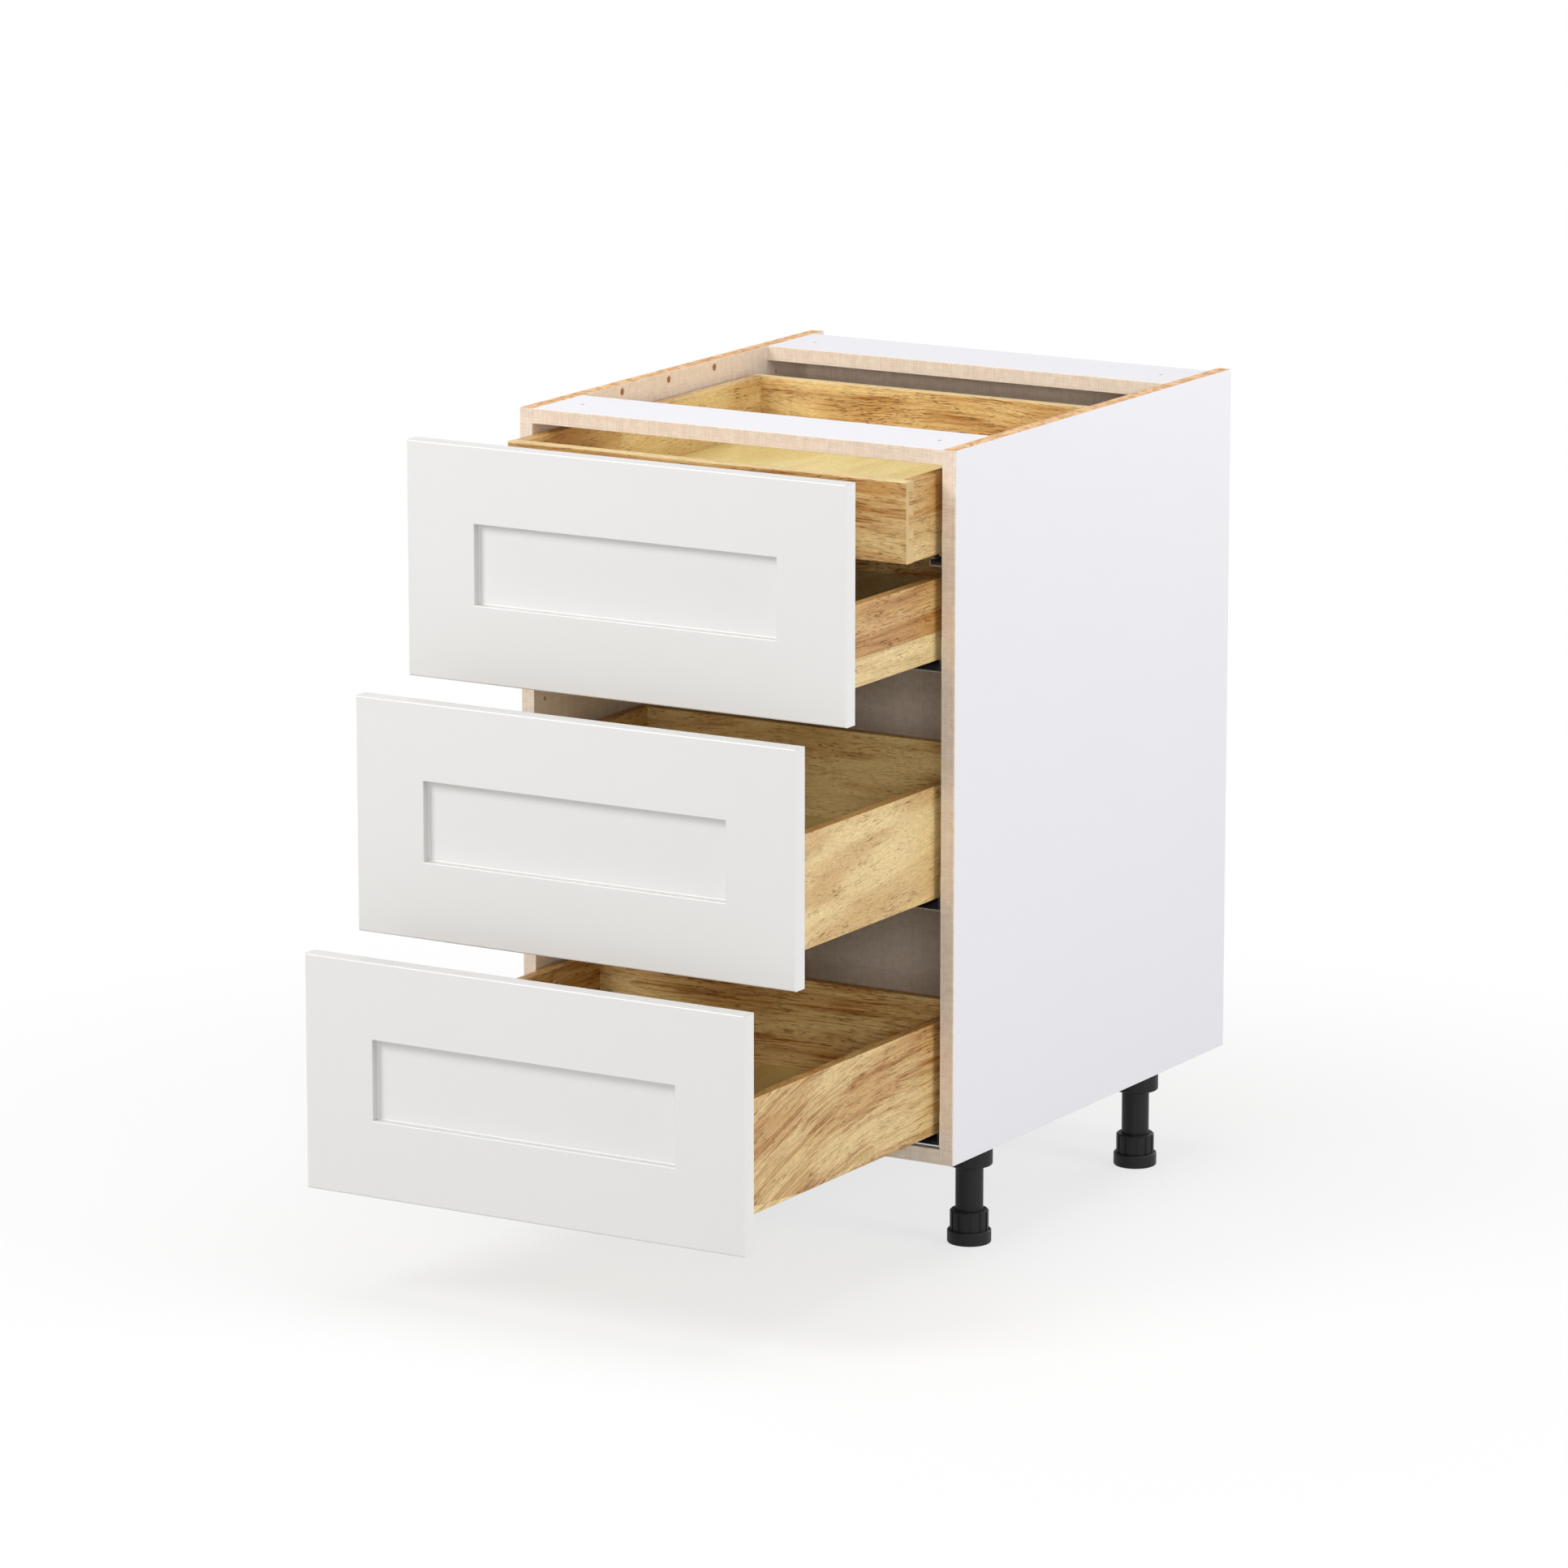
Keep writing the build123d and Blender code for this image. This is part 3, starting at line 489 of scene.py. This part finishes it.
def linen_skin(finish, across, up):
    """The carcass's linen pattern, laid out along two axes of the piece."""
    look = bpy.context.scene.cabinet_carcass
    return finish.group(effect_tree("linen"), {
        "Across": across, "Up": up, "Pitch": look.linen_pitch,
        "Ground": look.linen_ground, "Thread": look.linen_thread})


def hardwood(finish, place, tone, streaks, pores):
    """The drawers' hardwood, with its grain along the place's X."""
    look = bpy.context.scene.cabinet_drawers
    return finish.group(effect_tree("wood"), {
        "Place": place, "Tone": tone, "Streaks": streaks, "Pores": pores,
        "Pale": look.pale_wood, "Brown": look.brown_wood, "Streak": look.streak,
        "Pore": look.pore})


# ---- Carcass ----
def near(tree, value, level, reach):
    """1 where a value lies within reach of a level, else 0."""
    return tree.math("COMPARE", value, level, reach)


FACED_ROUGHNESS = 0.42
RAW_ROUGHNESS = 0.85
RAW_RELIEF = 0.0003
FACED_SHARE = 0.2
WHITE_CHANGE = 0.012


def board_finish(name, piece, faces):
    """A melamine-faced board. faces names, for X, Y or Z and low or high, white or linen."""
    look = bpy.context.scene.cabinet_carcass
    finish = Finish(name, {"Specular IOR Level": 0.4})
    low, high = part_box(piece)
    place = finish.parts(finish.place)
    chips = finish.group(effect_tree("chips"), {"Place": finish.place, "Size": look.chip_size,
                                           "Light": look.chip_light, "Dark": look.chip_dark})
    colour, height, covered = chips["Color"], chips["Height"], 0.0
    for axis, end, cover in faces:
        level = (low, high)[end][axis]
        mask = near(finish, place[axis], level, look.skin)
        if cover == "white":
            skin = handled_skin(finish, look.white, WHITE_CHANGE)
            grain = skin["Grain"]
        else:
            across, up = [place[other] for other in range(3) if other != axis]
            skin = linen_skin(finish, across, up)
            grain = skin["Height"]
        colour = finish.blend(mask, colour, skin["Color"])
        bare = finish.math("MULTIPLY", height, finish.math("SUBTRACT", 1.0, mask))
        faced = finish.math("MULTIPLY", grain, finish.math("MULTIPLY", mask, FACED_SHARE))
        height = finish.math("ADD", bare, faced)
        covered = finish.math("MAXIMUM", covered, mask)
    rough = finish.between(covered, 0.0, 1.0, RAW_ROUGHNESS, FACED_ROUGHNESS)
    finish.set(Base_Color=colour, Roughness=rough)
    finish.relief(height, RAW_RELIEF)
    finish.paint(piece)


class CABINET_OT_boards(bpy.types.Operator):
    """Finishes the sides, the bottom and the two rails as melamine-faced boards"""

    bl_idname = "cabinet.boards"
    bl_label = "Finish the boards"

    def execute(self, context):
        board_finish("Right side board", "right_side_panel", [(0, 1, "white"), (0, 0, "linen")])
        board_finish("Left side board", "left_side_panel", [(0, 0, "white"), (0, 1, "linen")])
        board_finish("Bottom board", "bottom_panel", [(2, 0, "white"), (2, 1, "linen")])
        for piece in ("front_top_rail", "rear_top_rail"):
            board_finish("Board of " + piece, piece, [(2, 1, "white"), (2, 0, "linen")])
        return {"FINISHED"}


BAND_RELIEF = 0.00006


class CABINET_OT_edge_bands(bpy.types.Operator):
    """Finishes the linen-pattern edge bands"""

    bl_idname = "cabinet.edge_bands"
    bl_label = "Finish the edge bands"

    def execute(self, context):
        finish = Finish("Linen edge band", {"Roughness": 0.45, "Specular IOR Level": 0.35})
        x, _, z = finish.parts(finish.place)
        linen = linen_skin(finish, x, z)
        finish.set(Base_Color=linen["Color"])
        finish.relief(linen["Height"], BAND_RELIEF)
        finish.paint("side_edge_bands", "rail_edge_bands", "bottom_edge_band")
        return {"FINISHED"}


HARDBOARD_CHANGE = 0.3
HARDBOARD_RELIEF = 0.0002


class CABINET_OT_back_panel(bpy.types.Operator):
    """Finishes the back panel: linen pattern inside, bare hardboard behind"""

    bl_idname = "cabinet.back_panel"
    bl_label = "Finish the back panel"

    def execute(self, context):
        look = context.scene.cabinet_carcass
        finish = Finish("Back panel", {"Roughness": 0.5})
        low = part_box("back_panel")[0]
        x, y, z = finish.parts(finish.place)
        linen = linen_skin(finish, x, z)
        bare = handled_skin(finish, look.fibreboard, HARDBOARD_CHANGE)
        inner_face = near(finish, y, low.y, look.skin)
        finish.set(Base_Color=finish.blend(inner_face, bare["Color"], linen["Color"]))
        finish.relief(bare["Grain"], HARDBOARD_RELIEF)
        finish.paint("back_panel")
        return {"FINISHED"}


# ---- Wood ----
END_DEPTH = 0.0003
WEAR_WIDTH = 0.0018
WOOD_RELIEF = 0.0001

# How far apart in the grain, in metres, two boards, the two lengths of a jointed board and the two
# staves of a glued one lie, and how much of that goes across the grain.
BOARD_SHIFT = 1.7
LENGTH_SHIFT = 0.61
STAVE_SHIFT = 0.37
THROUGH_SHARE = 0.3
UP_SHARE = 0.17


@dataclass
class Board:
    """How one hardwood board looks.

    Tones run from 0, pale, to 1, brown, and the others add to the first. Lengths are in metres,
    from the board's lower edge or from its front or left end.
    """

    piece: str
    tone: float = 0.5
    streaks: float = 0.6
    pores: float = 0.8
    seam: float = 0.0
    seam_fall: float = 0.0
    low_tone: float = 0.0
    joint: float = 0.0
    front_tone: float = 0.0
    band: float = 0.0
    band_width: float = 0.02
    band_tone: float = 0.0
    # Tone change along the top edge: partly the rim's own tone, partly painted shade where the drawer
    # above shades it.
    rim_tone_and_shade: float = 0.3
    slant: float = 0.0
    bend: float = 0.0


def wood_finish(board, number):
    """The hardwood finish of one board, with a figure of its own."""
    look = bpy.context.scene.cabinet_drawers
    finish = Finish("Hardwood of " + board.piece, {
        "Coat Weight": 0.08, "Coat Roughness": 0.3, "Specular IOR Level": 0.35})
    low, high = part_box(board.piece)
    grain = 1 if board.piece.endswith("side") else 0
    x, y, z = finish.parts(finish.place)
    along, through = (y, x) if grain else (x, y)
    along = finish.math("SUBTRACT", along, low[grain])
    up = finish.math("SUBTRACT", z, low.z)
    rise = finish.math("MULTIPLY_ADD", along, -board.bend / 2, board.slant)
    up_grain = finish.math("SUBTRACT", up, finish.math("MULTIPLY", rise, along))
    staves = finish.group(effect_tree("staves"), {
        "Along": along, "Up": finish.math("MULTIPLY_ADD", along, board.seam_fall, up),
        "Seam": board.seam, "Joint": board.joint})
    front = finish.math("SUBTRACT", 1.0, staves["Rear"])
    shift = finish.math("ADD", finish.math("MULTIPLY", staves["Low"], STAVE_SHIFT),
                        finish.math("MULTIPLY_ADD", front, LENGTH_SHIFT, BOARD_SHIFT * number))
    place = finish.whole(finish.math("ADD", along, shift),
                         finish.math("MULTIPLY_ADD", shift, THROUGH_SHARE, through),
                         finish.math("MULTIPLY_ADD", shift, UP_SHARE, up_grain))
    from_band = finish.math("ABSOLUTE", finish.math("SUBTRACT", up, board.band))
    changes = (
        (staves["Low"], board.low_tone),
        (front, board.front_tone),
        (finish.between(from_band, board.band_width / 4, board.band_width / 2, 1.0, 0.0),
         board.band_tone),
        # The top edge's tone change, partly painted shade.
        (near(finish, z, high.z, END_DEPTH), board.rim_tone_and_shade),
    )
    tone = board.tone
    for mask, change in changes:
        tone = finish.math("MULTIPLY_ADD", mask, change, tone)
    wood = hardwood(finish, place, tone, board.streaks, board.pores)
    wear = finish.group(effect_tree("wear"), {
        "Place": finish.place, "Low": low, "High": high, "Width": WEAR_WIDTH})
    colour = finish.blend(finish.math("MULTIPLY", staves["Line"], 0.3), wood["Color"], look.pore)
    colour = finish.blend(finish.math("MULTIPLY", wear["Wear"], 0.3), colour, look.end_grain)
    if not grain:
        ends = finish.math("MAXIMUM", near(finish, x, low.x, END_DEPTH),
                           near(finish, x, high.x, END_DEPTH))
        colour = finish.blend(finish.math("MULTIPLY", ends, 0.75), colour, look.end_grain)
    finish.set(Base_Color=colour, Roughness=wood["Roughness"])
    finish.relief(wood["Height"], WOOD_RELIEF)
    finish.paint(board.piece)


DRAWER_BOARDS = (
    Board("inner_drawer_box_front", tone=0.4, streaks=0.7, pores=1.0, rim_tone_and_shade=-0.8,
          band=0.077, band_width=0.018, band_tone=0.7),
    Board("inner_drawer_box_back", tone=0.45, streaks=0.8, pores=1.0, rim_tone_and_shade=-0.8),
    Board("inner_drawer_left_side", tone=0.25, streaks=0.3, pores=1.0, joint=0.205,
          front_tone=0.55),
    Board("inner_drawer_right_side", tone=0.75, streaks=0.6, seam=0.046, low_tone=-0.3),
    Board("top_drawer_box_front", tone=0.6),
    Board("top_drawer_box_back", tone=0.6, streaks=0.9, pores=1.0),
    Board("top_drawer_left_side", tone=0.5, seam=0.045, low_tone=-0.3),
    Board("top_drawer_right_side", tone=0.95, streaks=0.8, pores=0.9, seam=0.0305, low_tone=-1.1,
          band=0.043, band_width=0.028, band_tone=0.4),
    Board("middle_drawer_box_front", tone=0.5),
    Board("middle_drawer_box_back", tone=0.2, streaks=0.6, pores=1.0),
    Board("middle_drawer_left_side", tone=0.6, joint=0.3, front_tone=-0.2),
    Board("middle_drawer_right_side", tone=0.35, streaks=0.25, slant=0.1, pores=0.9,
          rim_tone_and_shade=0.9),
    Board("bottom_drawer_box_front", tone=0.5),
    Board("bottom_drawer_box_back", tone=0.45, streaks=1.0, pores=1.0),
    Board("bottom_drawer_left_side", tone=0.8, streaks=0.9, pores=1.0),
    Board("bottom_drawer_right_side", tone=0.5, streaks=1.0, slant=0.38, bend=0.95,
          seam=0.012, seam_fall=0.086, low_tone=-0.5, rim_tone_and_shade=0.6),
)


class CABINET_OT_drawer_boxes(bpy.types.Operator):
    """Finishes the hardwood sides, fronts and backs of the drawer boxes"""

    bl_idname = "cabinet.drawer_boxes"
    bl_label = "Finish the drawer boxes"

    def execute(self, context):
        for number, board in enumerate(DRAWER_BOARDS):
            wood_finish(board, number)
        return {"FINISHED"}


# Painted light: the top drawer's bottom lies in shade and takes the paler plywood.
PAINTED_LIGHT_BOTTOM = "top_drawer"


class CABINET_OT_drawer_bottoms(bpy.types.Operator):
    """Finishes the plywood bottoms"""

    bl_idname = "cabinet.drawer_bottoms"
    bl_label = "Finish the drawer bottoms"

    def execute(self, context):
        look = context.scene.cabinet_drawers
        for drawer in DRAWERS:
            face = look.plywood_painted_light if drawer == PAINTED_LIGHT_BOTTOM else look.plywood
            finish = Finish("Plywood of " + drawer, {
                "Roughness": 0.4, "Coat Weight": 0.1, "Coat Roughness": 0.3})
            x, y, z = finish.parts(finish.place)
            wood = finish.group(effect_tree("wood"), {
                "Place": finish.whole(y, x, z), "Tone": 0.35, "Streaks": 0.0, "Pores": 0.0,
                "Pale": face, "Brown": look.plywood_line, "Streak": look.plywood_line,
                "Pore": look.plywood_line})
            finish.set(Base_Color=wood["Color"])
            finish.relief(wood["Height"], WOOD_RELIEF)
            finish.paint(drawer + "_bottom")
        return {"FINISHED"}


class CABINET_OT_dowels(bpy.types.Operator):
    """Finishes the dowels"""

    bl_idname = "cabinet.dowels"
    bl_label = "Finish the dowels"

    def execute(self, context):
        finish = Finish("Dowel wood", {"Roughness": 0.6})
        wood = hardwood(finish, finish.place, tone=0.4, streaks=0.1, pores=0.3)
        finish.set(Base_Color=wood["Color"])
        finish.relief(wood["Height"], WOOD_RELIEF)
        finish.paint("carcass_dowels")
        return {"FINISHED"}


# ---- Fronts ----
FRAME_MARGIN = 0.05
RECESS_DEPTH = 0.010
WALL_MARGIN = 0.0008
LACQUER_CHANGE = 0.015
LACQUER_RELIEF = 0.00002


class CABINET_OT_fronts(bpy.types.Operator):
    """Finishes the lacquered fronts"""

    bl_idname = "cabinet.fronts"
    bl_label = "Finish the fronts"

    def execute(self, context):
        look = context.scene.cabinet_drawers
        for drawer in FRONTED_DRAWERS:
            piece = drawer + "_front"
            finish = Finish("Lacquer of " + piece, {"Coat Weight": 0.35, "Coat Roughness": 0.16})
            low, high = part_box(piece)
            skin = handled_skin(finish, look.lacquer, LACQUER_CHANGE)
            x, y, z = finish.parts(finish.place)
            inside = finish.math("MULTIPLY", near(finish, x, 0.0, high.x - FRAME_MARGIN),
                                 near(finish, z, (low.z + high.z) / 2,
                                      (high.z - low.z) / 2 - FRAME_MARGIN))
            # Painted shade: the recess walls and the top edge take the darker lacquer colour.
            deep = near(finish, y, low.y + RECESS_DEPTH / 2, RECESS_DEPTH / 2 - WALL_MARGIN)
            painted_shade_mask = finish.math("MAXIMUM", finish.math("MULTIPLY", inside, deep),
                               near(finish, z, high.z, WALL_MARGIN))
            colour = finish.blend(painted_shade_mask, skin["Color"], look.lacquer_painted_shade)
            rough = finish.between(skin["Cloud"], 0.2, 0.8, 0.28, 0.34)
            finish.set(Base_Color=colour, Roughness=rough)
            finish.relief(skin["Grain"], LACQUER_RELIEF)
            finish.paint(piece)
        return {"FINISHED"}


# ---- Metal ----
# How many swells per metre the plating's rolling lines and its dull patches have.
ROLLING_LINES = (700.0, 12.0, 700.0)
DULL_PATCHES = 40.0
ROLLING_RELIEF = 0.00003


def metal_finish(name, colour, pieces_named):
    """Plated steel with faint rolling lines along Y and duller patches."""
    finish = Finish(name, {"Metallic": 1.0})
    lines = finish.noise(finish.stretch(finish.place, *ROLLING_LINES), 3.0)
    patches = finish.noise(finish.scaled(finish.place, DULL_PATCHES), 3.0, 0.6)
    tone = finish.math("ADD", finish.between(lines, 0.3, 0.7, 0.92, 1.02),
                       finish.between(patches, 0.35, 0.7, -0.06, 0.04))
    shaded = finish.vector("MULTIPLY", tuple(colour)[:3], finish.whole(tone, tone, tone))
    finish.set(Base_Color=shaded, Roughness=finish.between(patches, 0.3, 0.7, 0.26, 0.42))
    finish.relief(lines, ROLLING_RELIEF)
    finish.paint(*pieces_named)


class CABINET_OT_runners(bpy.types.Operator):
    """Finishes the runners' folded steel members"""

    bl_idname = "cabinet.runners"
    bl_label = "Finish the runners"

    def execute(self, context):
        names = ["cabinet_runner_members"]
        for drawer in DRAWERS:
            names += [drawer + "_runner_members", drawer + "_middle_members"]
        metal_finish("Zinc-plated steel", context.scene.cabinet_metal.zinc, names)
        return {"FINISHED"}


class CABINET_OT_screws(bpy.types.Operator):
    """Finishes the screws"""

    bl_idname = "cabinet.screws"
    bl_label = "Finish the screws"

    def execute(self, context):
        names = ["cabinet_runner_screws", "leg_socket_screws"]
        names += [drawer + "_screws" for drawer in DRAWERS]
        metal_finish("Screw steel", context.scene.cabinet_metal.screw, names)
        return {"FINISHED"}


# ---- Plastic ----
PLASTIC_CHANGE = 0.25
SPARK_RELIEF = 0.00012


def plastic_finish(name, colour, pieces_named):
    """Moulded plastic with a fine spark texture."""
    finish = Finish(name, {"Specular IOR Level": 0.25})
    skin = handled_skin(finish, colour, PLASTIC_CHANGE)
    rough = finish.between(skin["Cloud"], 0.2, 0.8, 0.42, 0.58)
    finish.set(Base_Color=skin["Color"], Roughness=rough)
    finish.relief(skin["Grain"], SPARK_RELIEF)
    finish.paint(*pieces_named)


class CABINET_OT_legs(bpy.types.Operator):
    """Finishes the legs"""

    bl_idname = "cabinet.legs"
    bl_label = "Finish the legs"

    def execute(self, context):
        feet = ["foot_front_left", "foot_front_right", "foot_rear_left", "foot_rear_right"]
        plastic_finish("Leg plastic", context.scene.cabinet_plastic.leg,
                       ["leg_sockets", "leg_tubes"] + feet)
        return {"FINISHED"}


class CABINET_OT_clips(bpy.types.Operator):
    """Finishes the locking clips"""

    bl_idname = "cabinet.clips"
    bl_label = "Finish the locking clips"

    def execute(self, context):
        plastic_finish("Clip plastic", context.scene.cabinet_plastic.clip,
                       [drawer + "_locking_clips" for drawer in DRAWERS])
        return {"FINISHED"}


# ---- Stage ----
def seen_directly(tree):
    """1 for a ray that shows the background as such: from the camera, or through gloss or glass."""
    path = tree.add("ShaderNodeLightPath").outputs
    gloss = tree.math("MAXIMUM", path["Is Glossy Ray"], path["Is Transmission Ray"])
    return tree.math("MAXIMUM", path["Is Camera Ray"], gloss)


def white_world(strength):
    """A world that lights evenly and looks white."""
    world = bpy.data.worlds.new("Even light")
    world.use_nodes = True
    bpy.context.scene.world = world
    tree = Tree(world.node_tree)
    background = world.node_tree.nodes["Background"]
    background.inputs["Color"].default_value = (1.0, 1.0, 1.0, 1.0)
    level = tree.between(seen_directly(tree), 0.0, 1.0, strength, 1.0)
    tree.put(background.inputs["Strength"], level)


FLOOR_HALF = 12.0
FADE_START = 0.5
FADE_END = 1.5
NEAR_WHITE = 0.7


def pale_floor(colour, bounce):
    """A large floor that shows shadows near the cabinet and fades to white further out."""
    mesh = bpy.data.meshes.new("floor")
    half = FLOOR_HALF
    corners = [(-half, -half, 0.0), (half, -half, 0.0), (half, half, 0.0), (-half, half, 0.0)]
    mesh.from_pydata(corners, [], [(0, 1, 2, 3)])
    floor = bpy.data.objects.new("floor", mesh)
    bpy.context.scene.collection.objects.link(floor)
    finish = Finish("Pale floor", {"Roughness": 0.9, "Specular IOR Level": 0.0})
    mesh.materials.append(finish.material)
    flat = finish.stretch(finish.place, 1.0, 1.0, 0.0)
    far = finish.add("ShaderNodeVectorMath", {0: flat}, operation="LENGTH").outputs["Value"]
    white = finish.add("ShaderNodeEmission", {"Color": (1.0, 1.0, 1.0, 1.0), "Strength": 1.0})
    seen = seen_directly(finish)
    finish.set(Base_Color=finish.blend(seen, bounce, colour))
    share = finish.math("MULTIPLY", finish.between(far, FADE_START, FADE_END, NEAR_WHITE, 1.0), seen)
    mixed = finish.add("ShaderNodeMixShader", {0: share, 1: finish.shader.outputs[0],
                                               2: white.outputs[0]})
    output = finish.tree.nodes["Material Output"]
    finish.put(output.inputs["Surface"], mixed.outputs[0])


def lamp(name, place, target, width, light):
    """A square soft lamp that puts that much light on a face turned to it at the target."""
    data = bpy.data.lights.new(name, "AREA")
    data.size = width
    reach = Vector(target) - Vector(place)
    # Of a lamp's power P, P / (pi * reach^2) falls on each square metre there, and a white face
    # then looks 1 / pi of that bright.
    data.energy = light * pi ** 2 * reach.length_squared
    obj = bpy.data.objects.new(name, data)
    obj.location = place
    obj.rotation_euler = reach.to_track_quat("-Z", "Y").to_euler()
    bpy.context.scene.collection.objects.link(obj)


LIT_MIDDLE = (0.0, 0.0, 0.45)
LAMPS = (
    ("key", (-1.7, -3.1, 2.9), 1.8),
    ("side", (4.8, 0.0, 1.4), 2.0),
    ("top", (0.0, 0.1, 3.9), 2.4),
    ("back", (1.4, 4.4, 1.2), 2.0),
)
FILL_WIDTH = 1.0


class CABINET_OT_stage(bpy.types.Operator):
    """Sets up the floor, the lamps and the camera"""

    bl_idname = "cabinet.stage"
    bl_label = "Set up the stage"

    def execute(self, context):
        stage = context.scene.cabinet_stage
        context.scene.view_settings.view_transform = "Standard"
        white_world(stage.ambient)
        pale_floor(stage.floor, stage.bounce)
        for name, place, width in LAMPS:
            lamp(name.capitalize() + " lamp", place, LIT_MIDDLE, width, getattr(stage, name))
        data = bpy.data.cameras.new("Camera")
        data.lens = stage.lens
        camera = bpy.data.objects.new("Camera", data)
        aim = Vector((0.0, stage.aim_y, stage.aim_z))
        flat = cos(stage.elevation)
        back = Vector((sin(stage.bearing) * flat, -cos(stage.bearing) * flat,
                       sin(stage.elevation)))
        camera.location = aim + back * stage.distance
        lamp("Fill lamp", camera.location, aim, FILL_WIDTH, stage.fill)
        camera.rotation_euler = (-back).to_track_quat("-Z", "Y").to_euler()
        context.scene.collection.objects.link(camera)
        context.scene.camera = camera
        return {"FINISHED"}


# ---- Panel and registration ----
OPERATORS = (
    CABINET_OT_boards, CABINET_OT_edge_bands, CABINET_OT_back_panel, CABINET_OT_dowels,
    CABINET_OT_legs, CABINET_OT_runners, CABINET_OT_drawer_boxes, CABINET_OT_drawer_bottoms,
    CABINET_OT_clips, CABINET_OT_screws, CABINET_OT_fronts, CABINET_OT_stage,
)


class CABINET_PT_panel(bpy.types.Panel):
    """The steps that finish the cabinet"""

    bl_label = "Cabinet"
    bl_idname = "CABINET_PT_panel"
    bl_space_type = "VIEW_3D"
    bl_region_type = "UI"
    bl_category = "Cabinet"

    def draw(self, context):
        for operator in OPERATORS:
            self.layout.operator(operator.bl_idname)


SETTINGS = {
    "cabinet_carcass": CarcassFinish,
    "cabinet_drawers": DrawerFinish,
    "cabinet_metal": MetalFinish,
    "cabinet_plastic": PlasticFinish,
    "cabinet_stage": StageSettings,
}


def register():
    """Registers the settings, the operators and the panel."""
    for cls in (*SETTINGS.values(), *OPERATORS, CABINET_PT_panel):
        bpy.utils.register_class(cls)
    for name, cls in SETTINGS.items():
        setattr(bpy.types.Scene, name, PointerProperty(type=cls))


def unregister():
    """Takes away what register added."""
    for name in SETTINGS:
        delattr(bpy.types.Scene, name)
    for cls in (CABINET_PT_panel, *reversed(OPERATORS), *SETTINGS.values()):
        bpy.utils.unregister_class(cls)


def main():
    """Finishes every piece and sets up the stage."""
    register()
    for operator in OPERATORS:
        group, name = operator.bl_idname.split(".")
        getattr(getattr(bpy.ops, group), name)()


if __name__ == "__main__":
    main()
